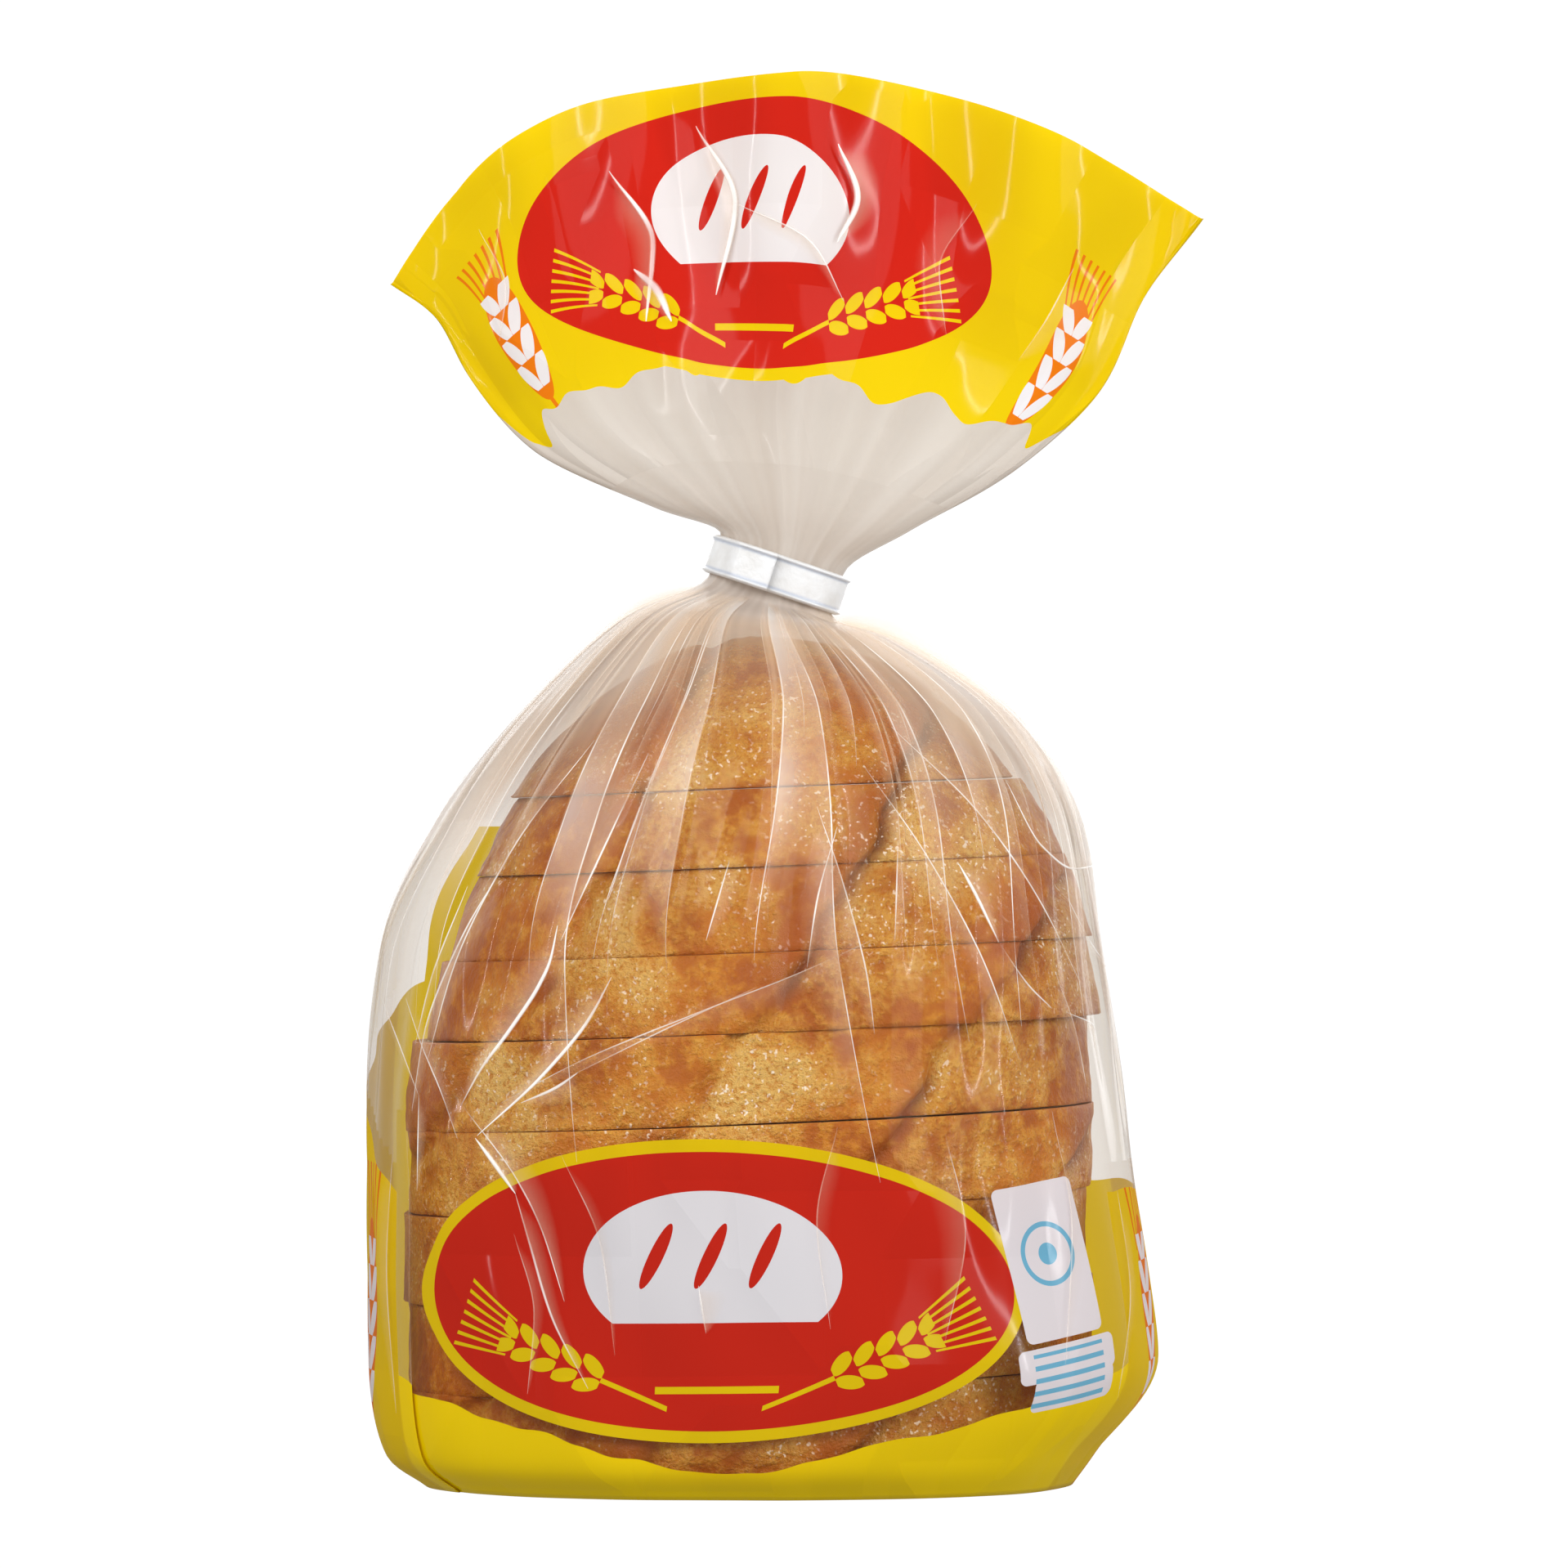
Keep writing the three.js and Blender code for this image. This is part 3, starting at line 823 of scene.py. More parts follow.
class Field:
    """A number that varies over a surface, so that node maths reads like ordinary maths."""

    def __init__(self, tree, socket):
        self.tree = tree
        self.socket = socket

    def maths(self, operation, *others, clamp=False):
        node = self.tree.nodes.new("ShaderNodeMath")
        node.operation = operation
        node.use_clamp = clamp
        for slot, value in zip(node.inputs, (self, *others)):
            feed(self.tree, slot, value)
        return Field(self.tree, node.outputs[0])

    __add__ = node_maths("ADD")
    __sub__ = node_maths("SUBTRACT")
    __mul__ = node_maths("MULTIPLY")
    __truediv__ = node_maths("DIVIDE")
    __abs__ = node_maths("ABSOLUTE")
    power = node_maths("POWER")
    root = node_maths("SQRT")
    cosine = node_maths("COSINE")
    sine = node_maths("SINE")
    highest = node_maths("MAXIMUM")
    above = node_maths("GREATER_THAN")
    below = node_maths("LESS_THAN")

    def __rsub__(self, other):
        return (self * -1) + other

    def squared(self):
        return self * self

    def kept(self):
        """Held between 0 and 1."""
        return self.maths("ADD", 0.0, clamp=True)

    def wrapped(self, low, high):
        return self.maths("WRAP", high, low)

    def mapped(self, low, high):
        """0 up to the low value and 1 from the high one on, with a smooth way between."""
        node = self.tree.nodes.new("ShaderNodeMapRange")
        node.interpolation_type = "SMOOTHSTEP"
        for slot, value in (("Value", self), ("From Min", low), ("From Max", high)):
            feed(self.tree, node.inputs[slot], value)
        return Field(self.tree, node.outputs[0])


class Finish:
    """A material being written."""

    def __init__(self, name):
        self.material = bpy.data.materials.new(name)
        self.material.use_nodes = True
        self.tree = self.material.node_tree
        self.tree.nodes.clear()

    def node(self, kind, inputs=None, **settings):
        """A new node, with its inputs given by name or by number."""
        node = self.tree.nodes.new(kind)
        for key, value in settings.items():
            setattr(node, key, value)
        for slot, value in (inputs or {}).items():
            feed(self.tree, node.inputs[slot], value)
        return node

    def attribute(self, name):
        node = self.node("ShaderNodeAttribute", attribute_name=name)
        return Field(self.tree, node.outputs["Fac"])

    def film_place(self):
        """Millimetres across the film and up it."""
        place = self.node("ShaderNodeUVMap", uv_map="film").outputs["UV"]
        parts = self.node("ShaderNodeSeparateXYZ", {0: place})
        return Field(self.tree, parts.outputs[0]), Field(self.tree, parts.outputs[1])

    def object_place(self):
        """The piece's own coordinates in millimetres."""
        place = self.node("ShaderNodeTexCoord").outputs["Object"]
        return self.node("ShaderNodeMapping", {"Vector": place, "Scale": [1 / MM] * 3}).outputs[0]

    def vector(self, x, y, z=0.0):
        return self.node("ShaderNodeCombineXYZ", {0: x, 1: y, 2: z}).outputs[0]

    def around(self, u, v):
        """A place for noise on the film that meets itself at the seam behind."""
        turn = u * (2 * math.pi / FILM_WIDTH)
        radius = FILM_WIDTH / (2 * math.pi)
        return self.vector(turn.cosine() * radius, turn.sine() * radius, v)

    def noise(self, place, size, detail, rough=0.55):
        inputs = {"Vector": place, "Scale": 1 / size, "Detail": detail, "Roughness": rough}
        return Field(self.tree, self.node("ShaderNodeTexNoise", inputs).outputs["Fac"])

    def cells(self, place, size, metric="EUCLIDEAN"):
        node = self.node("ShaderNodeTexVoronoi", {"Vector": place, "Scale": 1 / size}, distance=metric)
        return Field(self.tree, node.outputs["Distance"])

    def blend(self, share, first, second):
        """A colour between two others."""
        return self.node("ShaderNodeMix", {0: share, 6: first, 7: second}, data_type="RGBA").outputs[2]

    def bump(self, height, distance):
        """The direction of a surface with this relief, whose depth is in millimetres."""
        inputs = {"Height": height, "Distance": distance * MM, "Strength": 1.0}
        return self.node("ShaderNodeBump", inputs).outputs[0]

    def principled(self, **values):
        inputs = {key.replace("_", " "): value for key, value in values.items()}
        return self.node("ShaderNodeBsdfPrincipled", inputs)

    def shader_mix(self, share, first, second):
        return self.node("ShaderNodeMixShader", {0: share, 1: first, 2: second}).outputs[0]

    def finish(self, surface):
        self.node("ShaderNodeOutputMaterial", {"Surface": surface})
        return self.material


# The bag's print, in millimetres across the film and up it

YELLOW = linear(237, 204, 2)
RED = linear(208, 34, 18)
ORANGE = linear(236, 124, 10)
WHITE = linear(238, 236, 240)
LABEL_WHITE = linear(222, 216, 220)
PALE_BLUE = linear(110, 175, 205)
# Painted shade: a brown that darkens the emblem on the lower front, and how much of it.
PAINTED_SHADE_BROWN = linear(70, 40, 20)
EMBLEM_PAINTED_SHADE = 0.17

# Where the print's fields end: the fan's lower edge and its slope, the sides' upper edge, which rises
# to the left, and the back panel.
FAN_FOOT = 186.5
FAN_LEAN = 0.03
FRONT_HALF = 62.0
SIDE_TOP = 48.0
LEFT_RISE = 0.6
BEHIND = 111.0
BEHIND_TOP = 104.0
EMBLEM = {"across": -6.5, "up": 34.0, "half_width": 45.5, "half_height": 21.0, "rim": 1.9}
FAN_EMBLEM_RISE = 174.0
SIDE_WHEAT = {"across": 77.0, "up": 16.0, "degrees": 92, "length": 25.0}
FAN_WHEAT = {"across": 57.0, "up": 190.0, "degrees": 86, "length": 20.0}
GRAIN_LEAN = 28
LABEL = {"across": 47.0, "up": 32.0, "lean": 8}


def inside_ellipse(u, v, across, up, half_width, half_height):
    """1 inside the ellipse."""
    reach = ((u - across) / half_width).squared() + ((v - up) / half_height).squared()
    return reach.below(1.0)


def turned(u, v, across, up, degrees):
    """The same place seen from a turned pair of axes with their own origin."""
    c, s = math.cos(math.radians(degrees)), math.sin(math.radians(degrees))
    du, dv = u - across, v - up
    return du * c + dv * s, dv * c - du * s


def grain_rows(along, aside, length, spacing, grain):
    """Two rows of leaning grains along an ear of wheat."""
    cell = along.wrapped(0.0, spacing) - spacing / 2
    c, s = math.cos(math.radians(GRAIN_LEAN)), math.sin(math.radians(GRAIN_LEAN))
    away = abs(aside) - grain[1] * 1.45
    rows = inside_ellipse(cell * c + away * s, away * c - cell * s, 0.0, 0.0, grain[0], grain[1])
    return rows * along.above(0.0) * along.below(length)


def wheat_ear(u, v, across, up, degrees, length, spacing, grain):
    """The grains of an ear, the shape round them, and its stem and beard."""
    along, aside = turned(u, v, across, up, degrees)
    grains = grain_rows(along, aside, length, spacing, grain)
    body = inside_ellipse(along, aside, length / 2, 0.0, length * 0.62, grain[1] * 3.2)
    stem = abs(aside).below(grain[1] * 0.36) * along.above(-length * 0.8) * along.below(0.0)
    fan = (aside / (along - length * 0.25)) * 24.0
    beard = abs(fan.wrapped(-1.0, 1.0)).below(0.34) * abs(fan).below(6.5)
    beard = beard * along.above(length * 0.9) * along.below(length * 1.45)
    return grains, body, stem.highest(beard)


def side_wheat(finish, colour, u, v, wheat):
    """A large orange ear with white grains at each side of the bag."""
    grains, body, lines = wheat_ear(abs(u), v, **wheat, spacing=5.2, grain=(3.5, 1.45))
    colour = finish.blend(body.highest(lines), colour, ORANGE)
    return finish.blend(grains, colour, WHITE)


def bread_figure(u, v, across, up, half_width, half_height):
    """A plain round loaf with three slashes: its shape, and the slashes to leave out."""
    shape = inside_ellipse(u, v, across, up, half_width, half_height)
    flat = (v - up).above(-half_height * 0.62)
    slashes = None
    for place in (-0.42, 0.0, 0.42):
        a, b = turned(u, v, across + place * half_width, up + half_height * 0.2, 62)
        slash = inside_ellipse(a, b, 0.0, 0.0, half_height * 0.45, half_height * 0.085)
        slashes = slash if slashes is None else slashes.highest(slash)
    return shape * flat, slashes


def emblem(finish, colour, u, v, up):
    """A level red oval with a yellow rim. It holds a white loaf between two ears of wheat."""
    across, a, b, rim = EMBLEM["across"], EMBLEM["half_width"], EMBLEM["half_height"], EMBLEM["rim"]
    oval = inside_ellipse(u, v, across, up, a + rim, b + rim)
    colour = finish.blend(oval, colour, YELLOW)
    colour = finish.blend(inside_ellipse(u, v, across, up, a, b), colour, RED)
    bread, slashes = bread_figure(u, v, across, up + 3.0, a * 0.42, b * 0.58)
    colour = finish.blend(bread, colour, WHITE)
    colour = finish.blend(slashes, colour, RED)
    aside = abs(u - across)
    grains, _, lines = wheat_ear(aside, v, 17.0, up - 13.0, 24, 17.0, spacing=3.6, grain=(2.2, 1.05))
    colour = finish.blend(grains.highest(lines * aside.above(7.0)), colour, YELLOW)
    under = abs(v - (up - 14.6)).below(0.55) * aside.below(9.0)
    return oval, finish.blend(under, colour, YELLOW)


def rounded_panel(u, v, across, up, half_width, half_height, corner):
    outside_u = (abs(u - across) - (half_width - corner)).highest(0.0)
    outside_v = (abs(v - up) - (half_height - corner)).highest(0.0)
    return (outside_u.squared() + outside_v.squared()).below(corner * corner)


def label(finish, colour, u, v):
    """A plain white panel: a ring above, and two strips of bars below."""
    a, b = turned(u, v, LABEL["across"], LABEL["up"], LABEL["lean"])
    panel = rounded_panel(a, b, 0.0, 6.0, 7.6, 12.0, 1.2)
    strip_one = rounded_panel(a, b, 0.0, -9.4, 9.6, 2.6, 1.2)
    strip_two = rounded_panel(a, b, 1.0, -13.9, 8.0, 2.6, 1.2)
    whole = panel.highest(strip_one).highest(strip_two)
    colour = finish.blend(whole, colour, LABEL_WHITE)
    far = (a.squared() + (b - 7.0).squared()).root()
    ring = abs(far - 4.6).below(0.4).highest(far.below(1.7))
    bars = abs((b + 0.2).wrapped(-0.95, 0.95)).below(0.38) * b.below(-7.6) * abs(a).below(7.0)
    colour = finish.blend((ring * panel).highest(bars * whole), colour, PALE_BLUE)
    return whole, colour


def front_print(finish, u, v):
    """The lower front: a yellow field with a valley in its upper edge, the emblem under painted shade, and
    the label.
    """
    wander = finish.noise(finish.vector(u, 0.0), 13, detail=1.0) * 4.0 - 2.0
    valley = ((u + 2.0).squared() + 90.0).root() * 0.28
    field = v.below(valley + wander + 3.4)
    oval, colour = emblem(finish, YELLOW, u, v, EMBLEM["up"])
    # Painted shade: the lower emblem is darkened, dimmer than the same emblem on the fan.
    colour = finish.blend(oval * EMBLEM_PAINTED_SHADE, colour, PAINTED_SHADE_BROWN)
    whole, colour = label(finish, colour, u, v)
    return field.highest(oval).highest(whole), colour


def side_print(finish, u, v):
    """The sides and the back: yellow fields, a large ear at each side, and a white panel behind."""
    wander = finish.noise(finish.around(u, v), 16, detail=1.0) * 5.0 - 2.5
    rise = (abs(u) - FRONT_HALF) * u.below(0.0) * LEFT_RISE
    behind = (abs(u) + wander).above(BEHIND) * v.below(BEHIND_TOP)
    field = (v + wander).below(rise + SIDE_TOP).highest(behind)
    colour = side_wheat(finish, YELLOW, u, v, SIDE_WHEAT)
    panel = rounded_panel(abs(u), v, FILM_WIDTH / 2, 56.0, 30.0, 30.0, 3.0)
    colour = finish.blend(panel, colour, WHITE)
    listed = rounded_panel(abs(u), v, FILM_WIDTH / 2, 50.0, 24.0, 20.0, 1.0)
    bars = abs(v.wrapped(-2.4, 2.4)).below(0.7) * listed
    return field, finish.blend(bars, colour, RED)


def fan_print(finish, u, v):
    """The fan: a yellow field with an uneven lower edge, the emblem again, and an ear at each side."""
    lumps = finish.noise(finish.around(u, 0.0), 17, detail=1.0) * 17.0 - 8.5
    behind = abs(u).mapped(76.0, 90.0) * 7.0
    field = v.above(u * FAN_LEAN + FAN_FOOT + lumps + behind)
    colour = side_wheat(finish, YELLOW, u, v, FAN_WHEAT)
    oval, colour = emblem(finish, colour, u, v, EMBLEM["up"] + FAN_EMBLEM_RISE)
    return field.highest(oval), colour


# Finishes

# The milk's colours. The deeper one is painted shade for soft pleats.
MILK_PALE = linear(225, 217, 208)
MILK_PAINTED_SHADE = linear(214, 203, 192)
MILK_WARM = linear(240, 212, 180)
# Painted highlight: the white of the crease lines.
CREASE_PAINTED_HIGHLIGHT = linear(250, 247, 243)
CLEAR_TINT = (0.985, 0.98, 0.972, 1)
SLACK_TINT = (0.905, 0.885, 0.85, 1)
FILM_ROUGHNESS = 0.09

# The film's finishes: a name, the print on it, the share of light that it lets glow through from
# behind, and its gloss face on and edge on. Film without print has a quicker finish.
FILM_ZONES = [
    ("film_plain", None, 0.36, 0.01, 0.4),
    ("film_front", front_print, 0.2, 0.008, 0.06),
    ("film_sides", side_print, 0.42, 0.008, 0.06),
    ("film_fan", fan_print, 0.25, 0.008, 0.06),
    ("film_back", side_print, 0.68, 0.008, 0.06),
]


def film_zone(u, v):
    """Which of FILM_ZONES each face of the film takes, from its place on the film. Each zone reaches a
    little further than its print."""
    back = (np.abs(u) > BEHIND - 4) & (v < BEHIND_TOP + 1)
    top = SIDE_TOP + (np.abs(u) - FRONT_HALF) * LEFT_RISE * (u < 0)
    sides = (np.abs(u) >= FRONT_HALF) & (v < top + 4) & ~back
    front = (np.abs(u) < FRONT_HALF) & (v < 60)
    fan = v > FAN_FOOT - 14
    return 1 * front + 2 * sides + 3 * fan + 4 * back


def milky_shader(finish, cover, colour, tint, normal, glow_through, face_gloss, edge_gloss):
    """See-through film that scatters light where it is milky or printed, under a gloss."""
    skin = finish.principled(Base_Color=colour, Roughness=0.5, Specular_IOR_Level=0.0)
    glow = finish.node("ShaderNodeBsdfTranslucent", {"Color": colour})
    clear = finish.node("ShaderNodeBsdfTransparent", {"Color": tint})
    gloss = finish.node("ShaderNodeBsdfGlossy", {"Roughness": FILM_ROUGHNESS})
    edge_on = finish.node("ShaderNodeLayerWeight")
    if normal is not None:
        for lit in (skin, gloss, edge_on):
            feed(finish.tree, lit.inputs["Normal"], normal)
    scattering = finish.shader_mix(glow_through, skin.outputs[0], glow.outputs[0])
    body = finish.shader_mix(cover, clear.outputs[0], scattering)
    facing = Field(finish.tree, edge_on.outputs["Facing"])
    shine = facing.power(4.0) * edge_gloss + face_gloss
    return finish.shader_mix(shine, body, gloss.outputs[0])


def film_finish(name, layers, *light):
    """Clear film: milky where it is gathered, folded or slack, glossy, with opaque print, and with painted
    shade in darker streaks of its milk.
    """
    finish = Finish(name)
    u, v = finish.film_place()
    cover, slack = finish.attribute("haze"), finish.attribute("slack")
    # Painted shade: darker streaks of milk along soft pleats. The same streaks vary the film's haze.
    colour = finish.blend(finish.attribute("streak").mapped(0.3, 0.7), MILK_PAINTED_SHADE, MILK_PALE)
    colour = finish.blend(slack, MILK_WARM, colour)
    normal = None
    if layers is not None:
        ink, print_colour = layers(finish, u, v)
        cover = cover.highest(ink)
        colour = finish.blend(ink, colour, print_colour)
        facets = finish.cells(finish.vector(u, v * 0.7), 24, metric="MANHATTAN")
        normal = finish.bump(facets, 1.3)
    tint = finish.blend(slack, CLEAR_TINT, SLACK_TINT)
    return finish.finish(milky_shader(finish, cover, colour, tint, normal, *light))


def crease_finish():
    """The painted highlight line of a sharp crease in the film, white in its colour, and the milky veil
    beside it.
    """
    finish = Finish("film_crease_painted_highlight")
    strength = finish.attribute("strength")
    # Painted highlight: the stronger lines turn white, the fainter ones stay milky.
    colour = finish.blend(strength.mapped(0.1, 0.5), MILK_WARM, CREASE_PAINTED_HIGHLIGHT)
    skin = finish.principled(Base_Color=colour, Roughness=0.2, Specular_IOR_Level=0.5)
    clear = finish.node("ShaderNodeBsdfTransparent")
    return finish.finish(finish.shader_mix(strength * 0.9, clear.outputs[0], skin.outputs[0]))


# The crust's colours. The glint colour is a painted highlight.
CRUST = {
    "brown": linear(158, 80, 10), "tan": linear(186, 107, 17), "golden": linear(204, 133, 33),
    "opened": linear(192, 121, 22), "opened pale": linear(222, 168, 68), "straw": linear(226, 186, 104),
    "speck": linear(140, 62, 10), "lip": linear(150, 64, 14), "crease": linear(98, 42, 16),
    "tone": linear(156, 80, 18), "cut": linear(180, 108, 46), "painted_glint": linear(255, 240, 220),
}


def crust_finish():
    """Baked crust: brown skin, pale and blistered where a slash has opened, dark in the crease, with painted
    highlights dotted through its colour.
    """
    finish = Finish("crust")
    place = finish.object_place()
    bloom, crease, lip = finish.attribute("bloom"), finish.attribute("crease"), finish.attribute("lip")
    cut, tone = finish.attribute("cut"), finish.attribute("tone")
    patches = finish.noise(place, 15, detail=2.0)
    mottle = finish.noise(place, 3.6, detail=4.0, rough=0.7)
    specks = finish.noise(place, 0.95, detail=3.0, rough=0.8)
    stretch = finish.noise(place, 19, detail=1.0)
    ragged = (bloom * 0.45 + (mottle - 0.5) * 1.9 + (patches - 0.5) * 2.2).mapped(-0.15, 0.75)

    skin = finish.blend(patches.mapped(0.38, 0.62), CRUST["brown"], CRUST["tan"])
    skin = finish.blend(mottle.mapped(0.42, 0.7) * 0.8, skin, CRUST["golden"])
    opened = finish.blend(specks.mapped(0.36, 0.62), CRUST["opened"], CRUST["opened pale"])
    pale = bloom * patches.mapped(0.5, 0.64) * specks.mapped(0.3, 0.6)
    # Painted highlights: small white dots in the base colour stand in for glints of light on the oily crust.
    painted_glints = finish.noise(place, 0.75, detail=1.0).mapped(0.61, 0.72) * (ragged * 0.7 + 0.12)
    painted_glints = painted_glints * (stretch * 0.5 + patches * 0.5).mapped(0.4, 0.58)
    colour = finish.blend(ragged * 0.9, skin, opened)
    layers = [
        ("straw", pale * 0.7),
        ("speck", specks.mapped(0.55, 0.7) * 0.4),
        ("lip", (lip * stretch.mapped(0.4, 0.6) * (mottle + 0.3)).kept() * 0.75),
        ("crease", (crease * (mottle + 0.4) * stretch.mapped(0.44, 0.6)).kept() * 0.85),
        ("tone", tone * 0.22),
        ("cut", cut),
        ("painted_glint", painted_glints * (1.0 - cut)),
    ]
    for name, share in layers:
        colour = finish.blend(share, colour, CRUST[name])

    height = specks * (ragged * 0.9 + 0.5) + mottle * 1.2
    normal = finish.bump(height, 0.5)
    shader = finish.principled(
        Base_Color=colour, Roughness=(mottle * 0.25 + 0.34), Normal=normal,
        Specular_IOR_Level=0.12, Coat_Weight=(ragged * 0.22 + 0.08) * (1.0 - cut), Coat_Roughness=0.1,
        Coat_Normal=normal)
    return finish.finish(shader.outputs[0])


# The crumb's colours. The pore colour is painted shade inside the holes.
CRUMB_PORE_PAINTED_SHADE = linear(214, 184, 132)
CRUMB_PALE = linear(240, 222, 180)
CRUMB_PATCH = linear(228, 200, 150)


def crumb_finish():
    """Soft crumb: cream, matte and full of pores, with painted shade in the pores."""
    finish = Finish("crumb")
    place = finish.object_place()
    pores = finish.cells(place, 1.7)
    fine = finish.noise(place, 0.7, detail=3.0)
    broad = finish.noise(place, 9, detail=2.0)
    # Painted shade: the pores are darker, as shade in the holes.
    holes = (pores + (fine - 0.5) * 0.5).mapped(0.18, 0.42)
    colour = finish.blend(holes, CRUMB_PORE_PAINTED_SHADE, CRUMB_PALE)
    colour = finish.blend(broad.mapped(0.35, 0.7) * 0.4, colour, CRUMB_PATCH)
    normal = finish.bump(holes + fine * 0.3, 0.5)
    shader = finish.principled(Base_Color=colour, Roughness=0.85, Normal=normal)
    return finish.finish(shader.outputs[0])


# The tie's colours. The wire grey is a painted shadow.
TIE_SHADED = linear(216, 215, 213)
TIE_WHITE = linear(229, 230, 231)
WIRE_PAINTED_SHADOW = linear(168, 176, 192)


def tie_finish():
    """White plastic strip, a little uneven, with a grey-blue line of painted shadow beside each wire."""
    finish = Finish("tie")
    place = finish.object_place()
    clouds = finish.noise(place, 4, detail=2.0)
    fine = finish.noise(place, 0.8, detail=2.0)
    colour = finish.blend(clouds.mapped(0.3, 0.7), TIE_SHADED, TIE_WHITE)
    # Painted shadow: the wire attribute holds a grey line beside each wire.
    colour = finish.blend(finish.attribute("wire") * 0.8, colour, WIRE_PAINTED_SHADOW)
    shader = finish.principled(
        Base_Color=colour, Roughness=(clouds * 0.15 + 0.28), Normal=finish.bump(fine + clouds, 0.08),
        Coat_Weight=0.2, Coat_Roughness=0.15)
    return finish.finish(shader.outputs[0])


# How bright the floor and the surroundings are as lights on the pack, to the eye and in reflections.
FLOOR_LIGHT = 0.45
WORLD_LIGHT = 0.42
SEEN_WHITE = 1.05
MIRRORED_WHITE = 0.95


def white_for_the_eye(tree, kind, lighting):
    """A light-giving node that is brighter to the eye and in reflections than as a light on the pack."""
    light = tree.nodes.new(kind)
    light.inputs["Color"].default_value = (1, 1, 1, 1)
    ray = tree.nodes.new("ShaderNodeLightPath")
    seen = Field(tree, ray.outputs["Is Camera Ray"]) * (SEEN_WHITE - lighting)
    mirrored = Field(tree, ray.outputs["Is Glossy Ray"]) * (MIRRORED_WHITE - lighting)
    feed(tree, light.inputs["Strength"], seen + mirrored + lighting)
    return light


def stage_finish():
    finish = Finish("stage")
    light = white_for_the_eye(finish.tree, "ShaderNodeEmission", FLOOR_LIGHT)
    return finish.finish(light.outputs[0])


# The tie

TIE = {"width": 6, "thickness": 0.7, "wire_relief": 0.35, "clearance": 0.6, "lap_gap": 0.35, "lap": 0.55,
       "turn": 0.32, "steps": 200}
# Where the wire lies from the strip's edge, how wide its ridge is, and where its grey line of painted shadow
# shows.
WIRE = {"inset": 0.42, "width": 0.24, "painted_shadow_inset": 0.8}


def tie_piece():
    """The strip, wrapped once round the neck and lapped in front, with a wire inside each edge."""
    steps, half = TIE["steps"], TIE["width"] / 2
    turn = 2 * math.pi + TIE["lap"]
    share = np.linspace(0, 1, steps)
    angle = 1.5 * math.pi - TIE["turn"] - TIE["lap"] / 2 + turn * share
    level = np.full_like(angle, NECK_MIDDLE)
    right, left = bag_surface(np.full(2, NECK_MIDDLE), np.array([0, math.pi]))
    slope = unit(right - left)
    wide = np.array([-slope[2], 0, slope[0]])
    out = outward(level, angle)
    out = unit(out - (out @ wide)[:, None] * wide)
    lapped = smoothstep(share, 1 - 1.6 * TIE["lap"] / turn, 1 - 0.9 * TIE["lap"] / turn)
    lift = TIE["clearance"] + lapped * (TIE["thickness"] + TIE["wire_relief"] + TIE["lap_gap"])
    across = np.linspace(-1, 1, 41)
    from_edge = (1 - np.abs(across)) * half
    wire = np.exp(-((from_edge - WIRE["inset"]) / WIRE["width"]) ** 2)
    edge = np.sqrt(np.clip(from_edge / 0.3, 0, 1))
    outer = TIE["thickness"] * (0.5 + 0.5 * edge) + TIE["wire_relief"] * wire
    inner = TIE["thickness"] * (0.5 - 0.5 * edge)
    outer_half, inner_half = (np.stack([side, across * half], 1) for side in (outer, inner))
    profile = np.concatenate([outer_half, inner_half[-2:0:-1]])
    # A painted shadow: a grey line just inside each wire's ridge, kept as the wire attribute.
    wire_painted_shadow = np.exp(-((from_edge - WIRE["painted_shadow_inset"]) / WIRE["width"]) ** 2)
    tone = np.concatenate([wire_painted_shadow, 0 * wire_painted_shadow[2:]])
    outwards = lift[:, None] + profile[:, 0]
    middle = bag_surface(level, angle)[:, None]
    rings = middle + out[:, None] * outwards[..., None] + wide * profile[:, 1, None]
    columns = len(profile)
    faces = [face[::-1] for face in ring_faces(steps, columns)]
    faces.append(list(range(columns)))
    faces.append([(steps - 1) * columns + i for i in range(columns)][::-1])
    piece = mesh_object("tie_strip", rings, faces)
    set_attribute(piece, "wire", np.tile(tone, steps))
    return piece


# Putting it together

def dress(piece, finish, slot, *replaced):
    piece.data.materials.append(finish)
    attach(piece, "root")
    if replaced:
        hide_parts(*replaced)


def dress_film(piece, finishes):
    """Gives each face of the film the finish for what is printed there."""
    corners = np.empty(len(piece.data.loops) * 2, np.float32)
    piece.data.uv_layers["film"].data.foreach_get("uv", corners)
    middles = corners.reshape(-1, 4, 2).mean(axis=1)
    zones = film_zone(middles[:, 0], middles[:, 1])
    used = np.unique(zones)
    for zone in used:
        piece.data.materials.append(finishes[zone])
    piece.data.polygons.foreach_set("material_index", np.searchsorted(used, zones).astype(np.int32))
    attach(piece, "root")
    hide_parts("bread_bag")


def make_bag():
    finishes = [film_finish(*zone) for zone in FILM_ZONES]
    body_levels = levels_by_height(0, NECK_MIDDLE, BODY_STEP)
    body = film_piece("film_body", body_levels, BODY_FOLDS + back_folds(96), body_strength, True)
    fan_levels = levels_by_height(NECK_MIDDLE, LEVEL["mouth"], FAN_STEP)
    fan = film_piece("film_fan", fan_levels, FAN_FOLDS + back_folds(12), fan_strength, False)
    dress_film(body, finishes)
    dress_film(fan, finishes)
    dress(crease_piece(), crease_finish(), "film")


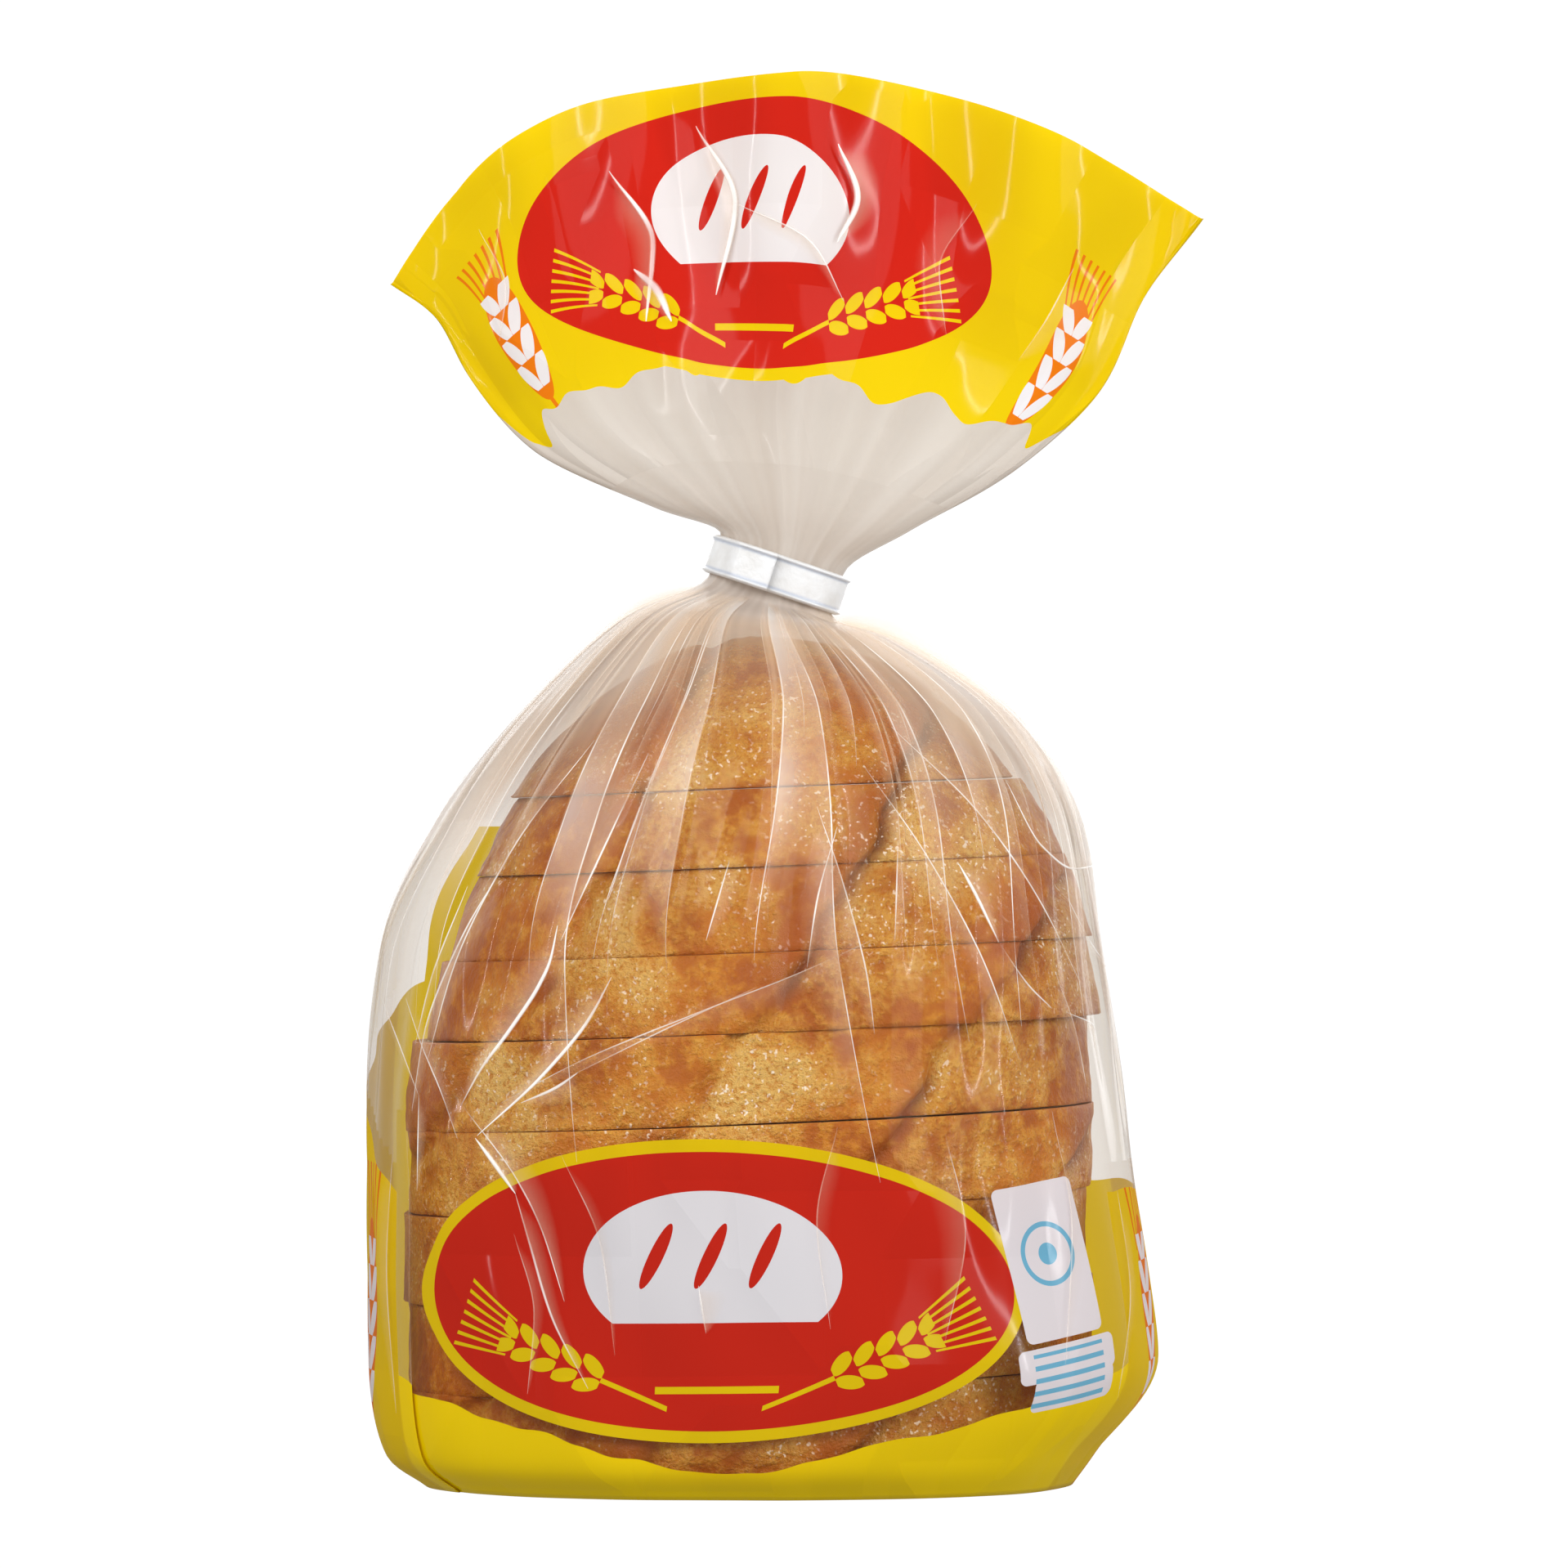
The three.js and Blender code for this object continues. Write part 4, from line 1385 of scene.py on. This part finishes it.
def make_bread():
    crust, crumb = crust_finish(), crumb_finish()
    low = LOAF["foot"]
    for number, thickness in enumerate(SLICE_THICKNESSES):
        name, high = f"slice_{number + 1}", low + thickness - SLICE_GAP
        pose = slice_pose(number, (low + high) / 2)
        dress(crust_piece(f"{name}_crust", low, high, pose), crust, "crust")
        dress(crumb_piece(f"{name}_crumb", low, high, pose), crumb, "crumb")
        low += thickness
    pose = slice_pose(len(SLICE_THICKNESSES), (low + LOAF["top"]) / 2)
    dress(heel_piece("heel_crust", low, pose), crust, "crust")
    dress(crumb_piece("heel_crumb", low - 0.1, low + 1.2, pose), crumb, "crumb")


def make_tie():
    dress(tie_piece(), tie_finish(), "tie", "neck_tie")


FLOOR_REACH = 900
FLOOR_SIDES = 64


def make_stage():
    """A round white floor."""
    turn = round_angles(FLOOR_SIDES)
    points = FLOOR_REACH * np.stack([np.cos(turn), np.sin(turn), 0 * turn], axis=-1)
    floor = mesh_object("stage_floor", points, [list(range(FLOOR_SIDES))], smooth=False)
    floor.data.materials.append(stage_finish())


# The lights: a name, a place and a size in metres, and a power in watts. All point at LIGHT_AIM.
LIGHTS = [
    ("key", (-0.6, -1.1, 0.95), (0.9, 0.9), 11.8),
    ("fill", (1.0, -0.9, 0.5), (0.9, 0.9), 7.5),
    ("strip_left", (-0.9, -0.5, 0.25), (0.02, 0.7), 2.0),
    ("strip_right", (0.8, -0.4, 0.3), (0.02, 0.7), 2.0),
    ("strip_front", (-0.3, -1.35, 0.75), (0.02, 0.6), 2.0),
    ("behind", (0.2, 1.1, 0.7), (1.8, 1.4), 13.0),
]
LIGHT_AIM = Vector((0, 0, 0.1))


def make_lights():
    for name, place, size, power in LIGHTS:
        light = bpy.data.lights.new(name, "AREA")
        light.shape = "RECTANGLE"
        light.size, light.size_y = size
        light.energy = power
        lamp = bpy.data.objects.new(name, light)
        lamp.location = place
        lamp.rotation_euler = (LIGHT_AIM - Vector(place)).to_track_quat("-Z", "Y").to_euler()
        bpy.context.scene.collection.objects.link(lamp)
    world = bpy.data.worlds.new("studio")
    world.use_nodes = True
    tree = world.node_tree
    tree.nodes.clear()
    background = white_for_the_eye(tree, "ShaderNodeBackground", WORLD_LIGHT)
    output = tree.nodes.new("ShaderNodeOutputWorld")
    tree.links.new(background.outputs[0], output.inputs["Surface"])
    bpy.context.scene.world = world


# The photograph: 8 pixels show a millimetre, its frame is square, and it looks along +Y.
PHOTO_SIZE = 1918
PHOTO_SCALE = 8.0
FOOT_LINE = 1818
CENTRE_LINE = 958
CAMERA_DISTANCE = 1.6


def make_camera():
    view_width = PHOTO_SIZE / PHOTO_SCALE * MM
    centre_x = (PHOTO_SIZE / 2 - CENTRE_LINE) / PHOTO_SCALE * MM
    centre_z = (FOOT_LINE - PHOTO_SIZE / 2) / PHOTO_SCALE * MM
    data = bpy.data.cameras.new("camera")
    data.sensor_width = 36
    data.lens = data.sensor_width * CAMERA_DISTANCE / view_width
    data.clip_end = 20
    camera = bpy.data.objects.new("camera", data)
    camera.location = (centre_x, -CAMERA_DISTANCE, centre_z)
    camera.rotation_euler = (math.pi / 2, 0, 0)
    bpy.context.scene.collection.objects.link(camera)
    bpy.context.scene.camera = camera


make_camera()
make_bag()
make_bread()
make_tie()
make_stage()
make_lights()
bpy.context.scene.view_settings.view_transform = "Standard"
bpy.context.scene.cycles.transparent_max_bounces = 24
